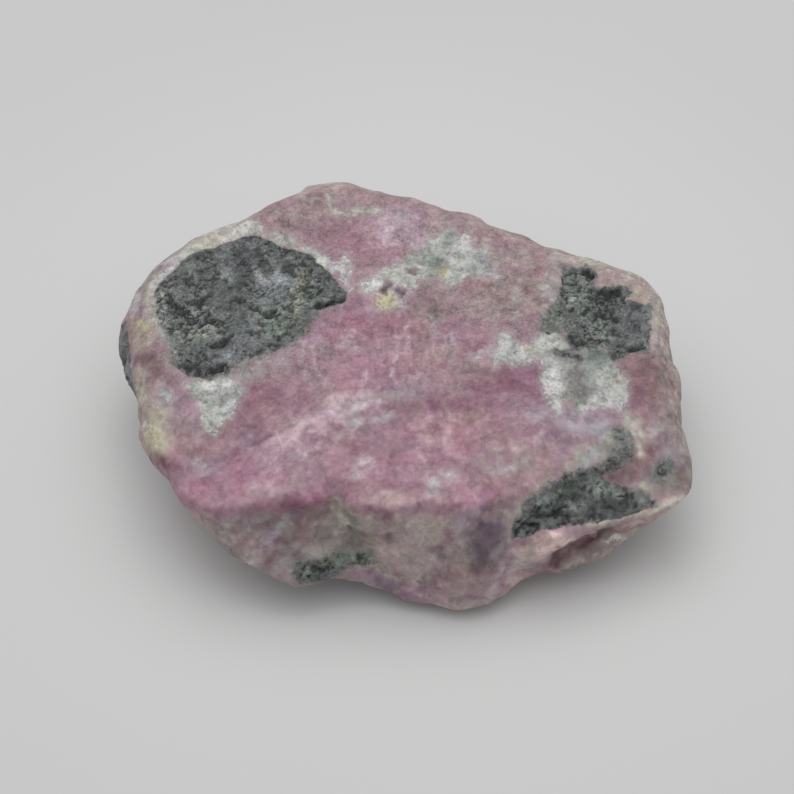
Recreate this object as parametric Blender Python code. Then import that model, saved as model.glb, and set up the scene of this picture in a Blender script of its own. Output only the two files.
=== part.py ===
"""A raw ruby crystal: one flat, broken slab of pink corundum with pods of dark mica in it.

The stone grew as one piece, so it is one solid. Its form is a stack of rings, each a closed outline
seen from above with its own heights: the rim of the broad top face, the shoulder under it, the girdle
where the stone is widest, the hem where the underside turns in, and the flat foot that it lies on.
The cage through those rings is remeshed to an even skin. Into that skin go the swells and folds that
break the edges up, the mica pods, the chips, the fracture faces and the lumps of the rough surface.

Sizes are in millimetres and become metres in the last step. +Z is up, +X is to the right along the
stone's length, and +Y is to the back. The origin is on the ground, under the middle of the stone.
"""

import math

import bmesh
import bpy
import numpy as np
from mathutils import Matrix, Vector, noise

MM = 0.001
NODE_NAME = "ruby_crystal"

# Rings, as (x, y, z) points in millimetres, counterclockwise seen from above, starting at +X.
RIM = [
    (24.5, -6.3, 12.0),
    (24.0, -1.7, 12.6),
    (23.8, 3.2, 13.0),
    (23.4, 7.8, 13.3),
    (22.1, 9.8, 13.5),
    (17.8, 11.9, 13.8),
    (13.5, 12.9, 14.0),
    (9.2, 15.5, 14.2),
    (3.3, 18.3, 14.5),
    (-2.1, 20.0, 14.8),
    (-5.6, 21.3, 15.0),
    (-8.0, 21.2, 15.0),
    (-11.4, 19.4, 15.0),
    (-13.6, 17.4, 15.0),
    (-16.0, 15.8, 14.8),
    (-21.0, 13.0, 14.6),
    (-23.4, 10.6, 14.4),
    (-24.8, 8.2, 14.2),
    (-25.0, 4.5, 14.0),
    (-24.8, 1.1, 13.8),
    (-24.5, -3.9, 13.4),
    (-24.1, -7.3, 12.9),
    (-23.2, -10.2, 12.3),
    (-22.0, -13.0, 11.6),
    (-20.6, -15.9, 11.0),
    (-18.6, -18.3, 11.4),
    (-15.2, -18.5, 12.1),
    (-11.5, -18.2, 12.4),
    (-8.4, -17.8, 12.3),
    (-6.7, -17.3, 11.9),
    (-5.2, -18.4, 12.2),
    (-0.6, -18.0, 12.5),
    (3.0, -18.2, 12.4),
    (6.2, -18.5, 12.3),
    (8.8, -17.7, 12.3),
    (11.6, -15.4, 12.2),
    (16.0, -11.9, 12.1),
    (20.3, -8.6, 12.1),
]
SHOULDER = [
    (26.1, -3.2, 9.9),
    (25.6, 2.3, 10.4),
    (25.7, 5.4, 10.8),
    (24.8, 9.0, 11.6),
    (23.6, 11.0, 12.2),
    (18.9, 13.3, 12.6),
    (13.6, 14.7, 12.8),
    (9.3, 17.2, 13.0),
    (5.3, 19.0, 13.2),
    (-2.1, 21.6, 13.6),
    (-5.8, 23.1, 13.8),
    (-7.8, 23.0, 13.8),
    (-10.5, 21.8, 13.8),
    (-12.5, 20.1, 13.8),
    (-14.4, 19.1, 13.7),
    (-16.4, 17.4, 13.6),
    (-19.0, 16.6, 13.5),
    (-21.3, 15.5, 13.4),
    (-25.2, 11.3, 13.0),
    (-26.7, 9.0, 12.3),
    (-27.7, 6.5, 10.8),
    (-26.8, -0.6, 10.0),
    (-25.5, -5.6, 10.5),
    (-24.9, -8.5, 10.4),
    (-23.7, -11.3, 10.0),
    (-22.1, -13.0, 9.5),
    (-21.1, -14.9, 9.2),
    (-19.3, -17.2, 8.4),
    (-15.3, -18.9, 8.0),
    (-10.7, -19.5, 8.0),
    (-6.4, -18.8, 8.0),
    (-3.2, -19.1, 6.8),
    (0.3, -20.1, 6.8),
    (4.4, -20.7, 6.8),
    (8.3, -20.1, 7.4),
    (9.9, -19.7, 9.0),
    (14.1, -18.2, 9.0),
    (17.8, -17.3, 8.7),
    (21.8, -16.1, 8.5),
    (25.1, -15.2, 8.3),
    (26.9, -12.5, 8.2),
    (26.8, -9.2, 8.8),
]
GIRDLE = [
    (26.2, -4.5, 7.0),
    (25.9, 1.0, 6.2),
    (25.6, 6.0, 6.8),
    (24.6, 11.0, 7.6),
    (20.5, 14.2, 7.0),
    (13.8, 17.0, 8.4),
    (7.0, 19.6, 7.2),
    (0.0, 22.2, 8.8),
    (-6.2, 24.0, 9.6),
    (-12.0, 22.4, 8.4),
    (-16.6, 19.2, 7.4),
    (-21.6, 16.4, 8.6),
    (-25.2, 11.6, 8.0),
    (-27.4, 8.0, 7.6),
    (-27.8, 4.6, 7.4),
    (-27.0, 1.2, 7.4),
    (-25.9, -1.9, 7.6),
    (-25.0, -6.4, 8.0),
    (-24.6, -8.0, 8.0),
    (-23.4, -10.6, 7.9),
    (-22.2, -12.0, 8.0),
    (-20.4, -15.4, 7.6),
    (-17.7, -17.3, 6.5),
    (-14.7, -19.8, 4.8),
    (-11.3, -21.8, 3.4),
    (-7.1, -20.2, 4.0),
    (-3.3, -19.9, 3.0),
    (0.8, -20.9, 1.6),
    (4.6, -22.0, 1.1),
    (8.0, -21.5, 1.5),
    (11.5, -19.2, 3.0),
    (15.8, -18.2, 3.4),
    (19.1, -17.2, 4.0),
    (23.2, -15.2, 5.0),
    (26.3, -12.6, 6.2),
    (26.6, -9.6, 6.8),
]
HEM = [
    (24.0, -3.0, 3.2),
    (23.4, 3.0, 1.9),
    (22.6, 8.6, 2.8),
    (18.6, 12.6, 1.8),
    (12.4, 14.2, 3.4),
    (8.0, 17.4, 2.2),
    (0.6, 18.6, 3.4),
    (-7.0, 21.4, 2.8),
    (-12.6, 19.2, 3.6),
    (-16.8, 14.6, 2.4),
    (-21.4, 12.2, 4.2),
    (-22.8, 7.4, 2.8),
    (-24.4, 2.6, 3.9),
    (-21.4, -3.6, 3.2),
    (-20.4, -8.6, 4.6),
    (-16.4, -12.6, 3.8),
    (-11.6, -16.2, 2.4),
    (-6.0, -16.2, 2.2),
    (-1.0, -17.2, 0.9),
    (4.6, -18.8, 0.5),
    (9.0, -16.8, 1.0),
    (14.2, -14.4, 2.0),
    (18.6, -12.8, 1.9),
    (22.4, -9.0, 3.6),
]
FOOT = [
    (19.6, -2.4, 0.0),
    (18.8, 4.0, 0.0),
    (15.4, 8.6, 0.0),
    (9.6, 12.2, 0.0),
    (2.0, 12.8, 0.0),
    (-4.6, 16.2, 0.0),
    (-10.4, 14.8, 0.0),
    (-13.4, 9.6, 0.0),
    (-17.4, 6.8, 0.0),
    (-16.0, 1.4, 0.0),
    (-17.6, -3.0, 0.0),
    (-13.0, -8.2, 0.0),
    (-7.4, -9.8, 0.0),
    (-3.0, -13.2, 0.0),
    (4.4, -15.2, 0.0),
    (8.6, -12.0, 0.0),
    (15.2, -10.0, 0.0),
]
STATIONS = 240  # points that each ring is read at, evenly spaced in bearing

# The top face is one cleavage plane, height = CROWN_HEIGHT + CROWN_SLOPE . (x, y), with a low dome. Near
# the rim it turns down to the rim's own heights, over a strip that is wider where the drop is deeper.
CROWN_HEIGHT = 13.55
CROWN_SLOPE = (-0.012, 0.05)
CROWN_DOME = 0.35
CROWN_STEPS = 30
TURN_REACH = 1.6
TURN_REACH_PER_DROP = 2.4  # more reach for each millimetre that the rim lies off the plane

# Swells are round-backed and folds are V-shaped. Each runs straight from one point to the next, reaches
# its radius to either side, and lifts the skin along its own normal. A negative lift cuts in.
# Columns: start, end, radius, lift.
SWELLS = [
    # The nose lobe, its two flanks and the thin lip to the left of its tip.
    ((1.5, -19.4, 9.5), (4.4, -20.6, 4.5), 5.5, 0.55),
    ((9.0, -18.6, 11.0), (9.4, -19.8, 5.0), 2.6, -0.75),
    ((-3.0, -19.6, 2.6), (1.0, -20.4, 1.8), 1.6, 0.5),
    ((-1.7, -18.8, 10.2), (-1.6, -19.2, 8.0), 1.6, -0.35),
    # The left front facet is slightly hollow, with a heavier lower left corner.
    ((-15.0, -18.6, 9.4), (-9.5, -18.9, 8.6), 4.0, -0.35),
    ((-18.0, -17.8, 8.0), (-12.6, -20.1, 4.6), 2.4, 0.3),
    # The ledge that stands out under the right front slope, the step under it and the lower ledge.
    ((11.2, -19.2, 6.6), (14.0, -18.4, 7.8), 2.4, 0.75),
    ((14.0, -18.2, 8.0), (24.4, -13.6, 7.6), 1.7, 0.55),
    ((13.2, -18.6, 4.6), (16.6, -17.6, 5.4), 1.7, -0.8),
    ((17.0, -17.4, 6.2), (22.4, -15.0, 5.6), 1.5, -0.45),
    ((14.2, -18.2, 3.2), (20.6, -16.2, 3.8), 1.6, 0.65),
    # Knobs and bays along the left wall.
    ((-27.0, 6.4, 8.2), (-26.8, 2.6, 8.0), 2.4, 0.2),
    ((-25.6, -3.0, 11.5), (-25.8, -3.4, 8.5), 1.8, -0.45),
    ((-24.2, -8.6, 10.6), (-24.0, -9.4, 9.4), 2.4, 0.4),
    ((-22.6, -12.6, 10.6), (-22.4, -12.8, 9.0), 1.6, -0.4),
    ((-20.4, -15.4, 10.4), (-20.0, -16.0, 8.4), 2.2, 0.25),
    # Knobs and bays along the right wall.
    ((25.6, -0.4, 10.6), (26.0, -1.0, 7.0), 2.0, 0.35),
    ((26.0, -5.4, 10.0), (26.0, -5.6, 7.6), 1.6, -0.45),
    ((25.2, 4.2, 9.6), (25.6, 4.4, 6.6), 1.8, -0.4),
    # Knobs and bays along the back.
    ((20.0, 13.4, 11.0), (19.4, 13.6, 8.0), 2.0, -0.45),
    ((15.0, 14.6, 12.4), (14.8, 15.6, 9.0), 2.2, 0.35),
    ((0.2, 20.3, 13.8), (2.8, 19.4, 13.6), 2.2, 0.3),
    ((8.0, 18.6, 10.0), (7.6, 19.4, 7.6), 2.2, -0.3),
    ((-2.4, 21.6, 13.0), (-2.0, 22.0, 9.0), 2.2, 0.3),
    ((-13.8, 18.4, 13.4), (-14.2, 19.4, 9.4), 1.8, -0.55),
    ((-22.6, 14.0, 12.6), (-23.4, 13.8, 8.6), 2.4, -0.35),
    # Low ground swell of the top face: a shallow trough beside the left pod, a rise through the middle.
    ((-4.0, 4.0, 14.2), (-16.0, -7.0, 13.4), 4.0, -0.3),
    ((2.0, -3.0, 13.6), (14.0, -9.0, 13.0), 6.0, 0.25),
    ((3.0, 12.0, 14.4), (12.0, 9.0, 14.0), 5.0, -0.25),
    ((20.0, -3.6, 13.0), (22.6, -6.6, 12.4), 3.4, -0.3),
    ((-12.0, 17.0, 14.8), (-4.0, 18.6, 14.8), 4.0, 0.25),
]
FOLDS = [
    # The notch in the front edge and the crease that runs down from it, between facet and nose.
    ((-6.8, -17.6, 11.8), (-6.2, -18.4, 10.2), 1.4, -0.55),
    ((-6.2, -18.4, 10.2), (-4.8, -19.0, 7.6), 1.5, -0.6),
    ((-4.8, -19.0, 7.6), (-2.4, -19.8, 4.2), 1.4, -0.6),
    ((-2.4, -19.8, 4.2), (0.6, -20.2, 2.9), 1.2, -0.4),
    # Cracks over the top face.
    ((-16.8, -2.6, 13.8), (-9.0, 2.9, 14.2), 1.1, -0.3),
    ((13.6, 3.6, 13.6), (15.2, 10.6, 14.0), 1.1, -0.35),
    ((16.4, 0.2, 13.4), (22.8, 1.2, 13.0), 1.1, -0.3),
    ((21.6, -8.4, 12.2), (25.2, -11.6, 9.8), 1.4, -0.4),
    # Splits that follow the layering round the hidden sides.
    ((24.6, -1.0, 5.0), (23.4, 7.0, 4.8), 1.3, -0.55),
    ((19.0, 14.6, 6.6), (8.0, 19.2, 6.4), 1.4, -0.6),
    ((2.0, 21.0, 8.0), (-8.0, 23.2, 7.6), 1.3, -0.5),
    ((-17.0, 18.4, 6.0), (-24.6, 11.8, 6.2), 1.5, -0.6),
    ((-26.6, 5.0, 6.2), (-24.8, -4.0, 6.6), 1.3, -0.5),
    ((-22.8, -9.4, 6.8), (-17.6, -15.6, 5.8), 1.3, -0.5),
]

# Mica pods in the top face, as outlines seen from above. The first lift is at the pod's back left and
# the second at its front right, so a pod may stand proud along one side and lie flush along another.
# Columns: outline, lift at the back left, lift at the front right.
LEFT_POD = [
    (-24.0, 6.4),
    (-22.0, 1.0),
    (-22.1, -1.7),
    (-21.1, -3.3),
    (-18.0, -3.6),
    (-14.8, -1.1),
    (-11.5, 0.6),
    (-9.0, 3.7),
    (-5.8, 6.4),
    (-9.5, 11.6),
    (-12.3, 13.6),
    (-15.2, 14.5),
    (-18.1, 13.4),
    (-23.3, 9.3),
]
RIGHT_POD = [
    (13.2, 3.1),
    (15.7, 0.3),
    (19.3, -0.5),
    (23.2, 1.3),
    (23.5, 6.8),
    (21.8, 8.4),
    (18.5, 8.5),
    (17.8, 11.1),
    (15.0, 11.5),
    (14.8, 6.5),
]
FRONT_RIGHT_POD = [
    (9.8, -19.4),
    (11.3, -16.8),
    (14.1, -15.0),
    (17.9, -12.6),
    (19.1, -9.6),
    (21.0, -9.7),
    (22.5, -14.2),
    (20.8, -15.8),
    (16.9, -17.4),
]
PODS = [
    (LEFT_POD, -0.05, 0.3),
    (RIGHT_POD, -0.55, -0.25),
    (FRONT_RIGHT_POD, -0.3, -0.45),
]
POD_EDGE = 0.7  # width of the step round a pod
LEAST_POD_RISE = 0.25  # a face leans out of the pods' reach where its normal rises less than this
POD_RISE_BAND = 0.25  # and is fully in it where the normal rises by this much more
TO_FRONT_RIGHT = (0.6, -0.8)

# Chips knocked off the hidden sides and the underside: the way each faces, and how much of the stone's
# reach that way it takes.
CHIPS = [
    ((0.52, 0.60, -0.61), 1.5),
    ((-0.10, 0.80, -0.59), 1.3),
    ((-0.62, 0.52, -0.59), 1.4),
    ((-0.74, -0.22, -0.64), 1.2),
    ((-0.48, -0.60, -0.64), 0.9),
    ((0.80, 0.05, -0.60), 1.3),
    ((0.62, -0.44, -0.65), 0.9),
    ((0.20, 0.97, -0.12), 0.5),
    ((-0.90, 0.42, -0.10), 0.5),
    ((0.93, 0.36, 0.05), 0.35),
]

# Fracture faces: each cell of the break tilts its own way. The tilt is least on the top face, which is
# a cleavage plane, and most on the fresh break of the back and the underside. Lumps are the grain of
# the rock, at three sizes, as (size, height). The skin is calm up to FOOT_CALM above the ground, so that
# the foot is one clean face.
FRACTURE_CELL = 4.6
FRACTURE_SLOPE_TOP = 0.02
FRACTURE_SLOPE_FRONT = 0.07
FRACTURE_SLOPE_FRESH = 0.2
FRACTURE_MOST = 0.45
FRACTURE_EASE = 0.12
FRESH_BREAK_FACES = (0.0, 0.75, -0.66)
FRESH_BAND = 0.5  # the break is fully fresh where the skin faces that way by this cosine
TOP_RISE = 0.5  # the top face begins where a normal rises more than this
TOP_RISE_BAND = 0.4
LUMPS = [(9.0, 0.22), (3.6, 0.13), (1.7, 0.08)]
LUMPS_ON_TOP = 0.6
FOOT_CALM = 1.6

CAGE_VOXEL = 0.5  # grain of the first skin, which takes the forms and the chips
SKIN_VOXEL = 0.42  # grain of the second skin, which takes the fracture faces and the lumps
TRIANGLES = 9600
FOOT_BAND = 0.12  # height that is cut off the foot, so that it is flat

STONE_COLOUR = (0.42, 0.20, 0.27, 1.0)
STONE_ROUGHNESS = 0.62


def ring_points(ring):
    """The ring read at evenly spaced bearings, with straight runs between its corners."""
    corners = np.array(ring)
    bearing = np.arctan2(corners[:, 1], corners[:, 0]) % math.tau
    order = np.argsort(bearing)
    bearing, corners = bearing[order], corners[order]
    at = np.linspace(0, math.tau, STATIONS, endpoint=False)
    bearing = np.concatenate([bearing[-1:] - math.tau, bearing, bearing[:1] + math.tau])
    corners = np.vstack([corners[-1:], corners, corners[:1]])
    after = np.searchsorted(bearing, at, side="right")
    a, b = corners[after - 1], corners[after]
    # The straight run from a to b meets the bearing's ray where the cross product vanishes.
    ray = np.stack([np.cos(at), np.sin(at)], axis=1)
    side_a = a[:, 0] * ray[:, 1] - a[:, 1] * ray[:, 0]
    side_b = b[:, 0] * ray[:, 1] - b[:, 1] * ray[:, 0]
    share = (side_a / (side_a - side_b))[:, None]
    return a + share * (b - a)


def crown_rings():
    """Rings over the top face, from near the middle out to just inside the rim."""
    rim = ring_points(RIM)
    radius = np.hypot(rim[:, 0], rim[:, 1])
    plane_at_rim = CROWN_HEIGHT + rim[:, :2] @ np.array(CROWN_SLOPE)
    drop = rim[:, 2] - plane_at_rim
    reach = TURN_REACH + TURN_REACH_PER_DROP * np.abs(drop)
    rings = []
    for step in range(1, CROWN_STEPS):
        # The rings crowd towards the rim, where the face turns down.
        out = math.sin(step / CROWN_STEPS * math.pi / 2)
        ring = rim * (out, out, 1.0)
        inward = radius * (1 - out)
        dome = CROWN_DOME * (1 - out**4)
        plane = CROWN_HEIGHT + ring[:, :2] @ np.array(CROWN_SLOPE)
        ring[:, 2] = plane + dome + drop * np.exp(-((inward / reach) ** 2))
        rings.append(ring)
    return rings


def cage_mesh():
    """The closed cage through every ring."""
    rings = crown_rings()
    rings += [ring_points(ring) for ring in (RIM, SHOULDER, GIRDLE, HEM, FOOT)]
    mesh = bpy.data.meshes.new(NODE_NAME)
    shape = bmesh.new()
    loops = [[shape.verts.new(point) for point in ring] for ring in rings]
    for upper, lower in zip(loops, loops[1:], strict=False):
        for i in range(STATIONS):
            j = (i + 1) % STATIONS
            shape.faces.new((upper[i], lower[i], lower[j], upper[j]))
    shape.faces.new(loops[0])
    shape.faces.new(loops[-1][::-1])
    bmesh.ops.recalc_face_normals(shape, faces=shape.faces)
    shape.to_mesh(mesh)
    shape.free()
    return mesh


def apply_modifier(obj, kind, **settings):
    """Adds one modifier, and gives the object the mesh that it makes."""
    modifier = obj.modifiers.new(kind.title(), kind)
    for name, value in settings.items():
        setattr(modifier, name, value)
    graph = bpy.context.evaluated_depsgraph_get()
    mesh = bpy.data.meshes.new_from_object(obj.evaluated_get(graph))
    obj.modifiers.clear()
    old, obj.data = obj.data, mesh
    bpy.data.meshes.remove(old)


def skin_of(mesh):
    """The mesh's points and normals as two arrays."""
    points = np.empty(len(mesh.vertices) * 3, np.float32)
    normals = np.empty(len(mesh.vertices) * 3, np.float32)
    mesh.vertices.foreach_get("co", points)
    mesh.vertices.foreach_get("normal", normals)
    return points.reshape(-1, 3).astype(float), normals.reshape(-1, 3).astype(float)


def move_skin(mesh, points):
    mesh.vertices.foreach_set("co", points.astype(np.float32).ravel())
    mesh.update()


def nearness(points, start, end, radius):
    """How near each point is to the straight run, from 0 at the radius to 1 on the run itself."""
    start, end = np.array(start), np.array(end)
    along = end - start
    share = np.clip((points - start) @ along / (along @ along), 0, 1)
    gap = np.linalg.norm(points - start - share[:, None] * along, axis=1)
    return np.clip(1 - gap / radius, 0, 1)


def smooth_step(value):
    value = np.clip(value, 0, 1)
    return value * value * (3 - 2 * value)


def inside_depth(points, outline):
    """How far each point is inside the outline, seen from above. It is negative outside."""
    corners = np.array(outline)
    depth = np.full(len(points), np.inf)
    inside = np.zeros(len(points), bool)
    x, y = points[:, 0], points[:, 1]
    for (ax, ay), (bx, by) in zip(corners, np.roll(corners, -1, axis=0), strict=True):
        along = np.array([bx - ax, by - ay])
        share = np.clip(((x - ax) * along[0] + (y - ay) * along[1]) / (along @ along), 0, 1)
        gap = np.hypot(x - ax - share * along[0], y - ay - share * along[1])
        depth = np.minimum(depth, gap)
        crosses = (ay > y) != (by > y)
        rise = np.where(by == ay, 1.0, by - ay)
        inside ^= crosses & (x < ax + (y - ay) * (bx - ax) / rise)
    return np.where(inside, depth, -depth)


def pod_lift(points, normals):
    """The lift of the mica pods, which lie only in faces that look upwards."""
    lift = np.zeros(len(points))
    faces_up = smooth_step((normals[:, 2] - LEAST_POD_RISE) / POD_RISE_BAND)
    to_front_right = np.array(TO_FRONT_RIGHT)
    for outline, back, front in PODS:
        across = np.array(outline) @ to_front_right
        at = points[:, :2] @ to_front_right
        share = np.clip((at - across.min()) / np.ptp(across), 0, 1)
        inside = smooth_step(0.5 + inside_depth(points, outline) / POD_EDGE)
        lift += (back + (front - back) * share) * inside * faces_up
    return lift


def add_forms(mesh):
    """Works the swells, the folds and the pods into the skin."""
    points, normals = skin_of(mesh)
    lift = pod_lift(points, normals)
    for start, end, radius, height in SWELLS:
        lift += height * smooth_step(nearness(points, start, end, radius))
    for start, end, radius, height in FOLDS:
        lift += height * nearness(points, start, end, radius)
    move_skin(mesh, points + normals * lift[:, None])


def knock_chips(mesh):
    """Cuts the stone back to a plane at each chip."""
    points, _ = skin_of(mesh)
    for facing, depth in CHIPS:
        facing = np.array(Vector(facing).normalized())
        reach = points @ facing
        over = np.clip(reach - (reach.max() - depth), 0, None)
        points = points - over[:, None] * facing
    move_skin(mesh, points)


def tilt_of(seed):
    """The way the fracture face round a cell's seed leans."""
    return noise.cell_vector(seed) * 2 - Vector((1, 1, 1))


def fracture_lift(point, slope):
    """The height at a point of the tilted fracture face that it lies in, eased where two faces meet."""
    gaps, seeds = noise.voronoi(point / FRACTURE_CELL)
    lifts = []
    for seed in seeds[:2]:
        lift = slope * tilt_of(seed).dot(point - seed * FRACTURE_CELL)
        lifts.append(max(-FRACTURE_MOST, min(FRACTURE_MOST, lift)))
    own_share = 0.5 + 0.5 * min(1.0, (gaps[1] - gaps[0]) / FRACTURE_EASE)
    return lifts[0] * own_share + lifts[1] * (1 - own_share)


def roughen(mesh):
    """Breaks the skin into fracture faces and lumps."""
    points, normals = skin_of(mesh)
    top = smooth_step((normals[:, 2] - TOP_RISE) / TOP_RISE_BAND)
    fresh = smooth_step(normals @ np.array(FRESH_BREAK_FACES) / FRESH_BAND)
    slopes = FRACTURE_SLOPE_FRONT + (FRACTURE_SLOPE_TOP - FRACTURE_SLOPE_FRONT) * top
    slopes += (FRACTURE_SLOPE_FRESH - slopes) * fresh
    lumps_share = 1 + (LUMPS_ON_TOP - 1) * top
    lift = np.zeros(len(points))
    for i, point in enumerate(map(Vector, points)):
        lift[i] = fracture_lift(point, slopes[i])
        for size, height in LUMPS:
            lift[i] += lumps_share[i] * height * noise.noise(point / size)
    lift *= smooth_step(points[:, 2] / FOOT_CALM)
    move_skin(mesh, points + normals * lift[:, None])


def cut_foot(mesh):
    """Cuts the stone off flat at the ground, and closes it with the face that it lies on."""
    shape = bmesh.new()
    shape.from_mesh(mesh)
    whole = shape.verts[:] + shape.edges[:] + shape.faces[:]
    cut = bmesh.ops.bisect_plane(
        shape, geom=whole, plane_co=(0, 0, FOOT_BAND), plane_no=(0, 0, 1), clear_inner=True
    )
    rim = [item for item in cut["geom_cut"] if isinstance(item, bmesh.types.BMEdge)]
    bmesh.ops.contextual_create(shape, geom=rim)
    bmesh.ops.triangulate(shape, faces=shape.faces)
    shape.to_mesh(mesh)
    shape.free()


def settle(mesh):
    """Puts the foot on the ground and the middle of the stone's box over the origin."""
    points, _ = skin_of(mesh)
    points[:, 2] -= FOOT_BAND
    points[points[:, 2] < FOOT_BAND, 2] = 0.0
    middle = (points.min(axis=0) + points.max(axis=0)) / 2
    points[:, :2] -= middle[:2]
    move_skin(mesh, points)


def stone_material():
    material = bpy.data.materials.new("ruby_rock")
    material.use_nodes = True
    shader = material.node_tree.nodes["Principled BSDF"]
    shader.inputs["Base Color"].default_value = STONE_COLOUR
    shader.inputs["Roughness"].default_value = STONE_ROUGHNESS
    shader.inputs["Metallic"].default_value = 0.0
    material.diffuse_color = STONE_COLOUR
    return material


def main():
    for obj in list(bpy.data.objects):
        bpy.data.objects.remove(obj)
    stone = bpy.data.objects.new(NODE_NAME, cage_mesh())
    bpy.context.scene.collection.objects.link(stone)
    apply_modifier(stone, "REMESH", mode="VOXEL", voxel_size=CAGE_VOXEL)
    add_forms(stone.data)
    knock_chips(stone.data)
    apply_modifier(stone, "REMESH", mode="VOXEL", voxel_size=SKIN_VOXEL)
    roughen(stone.data)
    cut_foot(stone.data)
    apply_modifier(stone, "DECIMATE", ratio=TRIANGLES / len(stone.data.polygons))
    settle(stone.data)
    stone.data.transform(Matrix.Scale(MM, 4))
    stone.data.materials.append(stone_material())


main()
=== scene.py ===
import functools
import math

import bmesh
import bpy
import numpy as np
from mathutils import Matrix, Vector, noise
from mathutils.bvhtree import BVHTree


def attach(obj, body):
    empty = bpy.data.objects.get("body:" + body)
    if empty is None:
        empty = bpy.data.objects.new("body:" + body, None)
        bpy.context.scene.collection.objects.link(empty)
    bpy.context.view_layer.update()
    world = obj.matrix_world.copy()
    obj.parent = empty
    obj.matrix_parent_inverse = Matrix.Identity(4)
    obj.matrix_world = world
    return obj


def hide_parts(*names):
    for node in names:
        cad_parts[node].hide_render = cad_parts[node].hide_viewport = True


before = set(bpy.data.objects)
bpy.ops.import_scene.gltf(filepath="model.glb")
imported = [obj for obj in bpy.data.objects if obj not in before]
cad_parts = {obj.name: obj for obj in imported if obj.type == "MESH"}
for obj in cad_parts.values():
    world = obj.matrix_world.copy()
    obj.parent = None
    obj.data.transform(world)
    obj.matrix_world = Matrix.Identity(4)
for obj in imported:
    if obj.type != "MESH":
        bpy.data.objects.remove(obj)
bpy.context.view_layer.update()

# The view. What is drawn on the stone is placed in pixels of the picture, as this camera sees it.
MM = 0.001
PICTURE = 794  # pixels across the square picture
CENTRE = PICTURE / 2
ELEVATION = math.radians(47.0)
DISTANCE = 300.0  # mm from the camera to the point that it looks at
SEEN_WIDTH = 76.4  # mm across the picture at that distance
AIM = np.array([-0.36, -0.77, 6.88])
SENSOR = 36.0
CLIP = (0.01, 20.0)  # m
PIXELS_PER_MM = PICTURE / SEEN_WIDTH
FORWARD = np.array([0.0, math.cos(ELEVATION), -math.sin(ELEVATION)])
UPWARD = np.array([0.0, math.sin(ELEVATION), math.cos(ELEVATION)])
EYE = AIM - FORWARD * DISTANCE

# The fine mesh
PIECE = "ruby_stone"
WELD = 1e-6  # m
VOXEL = 0.26  # mm
SMOOTH_FACTOR = 0.5
SMOOTH_ROUNDS = 7

# Palette, in linear colours
ROSE = (0.335, 0.203, 0.245)
MAGENTA = (0.295, 0.155, 0.205)
DEEP = (0.215, 0.09, 0.135)
HOT = (0.395, 0.19, 0.27)
SILK = (0.5, 0.365, 0.41)
BLUSH = (0.62, 0.5, 0.53)
SALMON = (0.44, 0.28, 0.285)
PEACH = (0.6, 0.44, 0.43)
LILAC = (0.38, 0.3, 0.35)
VIOLET = (0.29, 0.2, 0.265)
HAZE = (0.45, 0.42, 0.45)
RUSSET = (0.34, 0.245, 0.25)
UMBER = (0.22, 0.14, 0.145)
SAND = (0.432, 0.328, 0.325)
FACET = (0.275, 0.225, 0.228)
PINE = (0.15, 0.18, 0.16)
TAN = (0.31, 0.255, 0.19)
OLIVE = (0.25, 0.225, 0.2)
MAROON = (0.13, 0.06, 0.07)
PLUM = (0.12, 0.082, 0.108)
BEIGE = (0.43, 0.38, 0.33)
CREAM = (0.52, 0.5, 0.43)
OCHRE = (0.47, 0.42, 0.27)
SAGE = (0.29, 0.31, 0.285)
CELADON = (0.415, 0.425, 0.395)
LICHEN = (0.43, 0.43, 0.335)
MIST = (0.29, 0.308, 0.322)
WHITE = (0.62, 0.605, 0.6)
PEARL = (0.47, 0.46, 0.455)
SLATE = (0.114, 0.122, 0.119)
STEEL = (0.122, 0.129, 0.135)
MOSS = (0.16, 0.182, 0.156)
SOOT = (0.035, 0.038, 0.038)
STRAW = (0.3, 0.29, 0.2)
ASH = (0.2, 0.19, 0.185)
SHELL = (0.7, 0.53, 0.52)

# Outlines, in picture pixels
LEFT_POD = [
    (250, 234), (262, 238), (280, 246), (300, 251), (312, 257), (322, 265), (332, 274), (346, 292),
    (345, 300), (325, 305), (312, 316), (303, 326), (300, 336), (290, 343), (270, 350), (262, 357),
    (250, 358), (240, 360), (227, 364), (226, 372), (218, 377), (205, 378), (190, 377), (182, 371),
    (172, 362), (172, 345), (166, 330), (158, 315), (155, 303), (156, 292), (160, 283), (170, 272),
    (180, 263), (190, 255), (200, 250), (215, 247), (228, 242), (238, 238)]
RIGHT_POD = [
    (562, 265), (575, 268), (590, 268), (598, 275), (592, 285), (600, 288), (625, 286), (632, 290),
    (625, 300), (640, 303), (650, 305), (650, 335), (648, 352), (640, 350), (625, 355), (612, 358),
    (608, 348), (600, 345), (585, 347), (572, 352), (568, 340), (570, 325), (560, 320), (560, 300),
    (562, 280)]
RIGHT_POD_FRINGE = [(562, 292), (568, 330), (548, 332), (541, 326), (550, 312)]
FRONT_RIGHT_POD = [
    (510, 538), (513, 525), (520, 512), (527, 500), (540, 495), (548, 487), (565, 478), (580, 472),
    (600, 468), (605, 480), (618, 484), (628, 488), (655, 500), (655, 505), (640, 511), (620, 518),
    (600, 522), (580, 524), (560, 526), (541, 529), (525, 538)]
FRONT_RIGHT_FRINGE = [
    (603, 471), (607, 458), (613, 450), (624, 449), (632, 453), (633, 461), (624, 467), (612, 471)]
SMALL_RIGHT_POD = [(655, 475), (658, 465), (668, 460), (673, 466), (664, 476)]
FRONT_POD = [
    (293, 568), (300, 563), (320, 560), (340, 555), (360, 552), (375, 560), (365, 563), (345, 567),
    (335, 577), (315, 583), (298, 583)]
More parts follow.
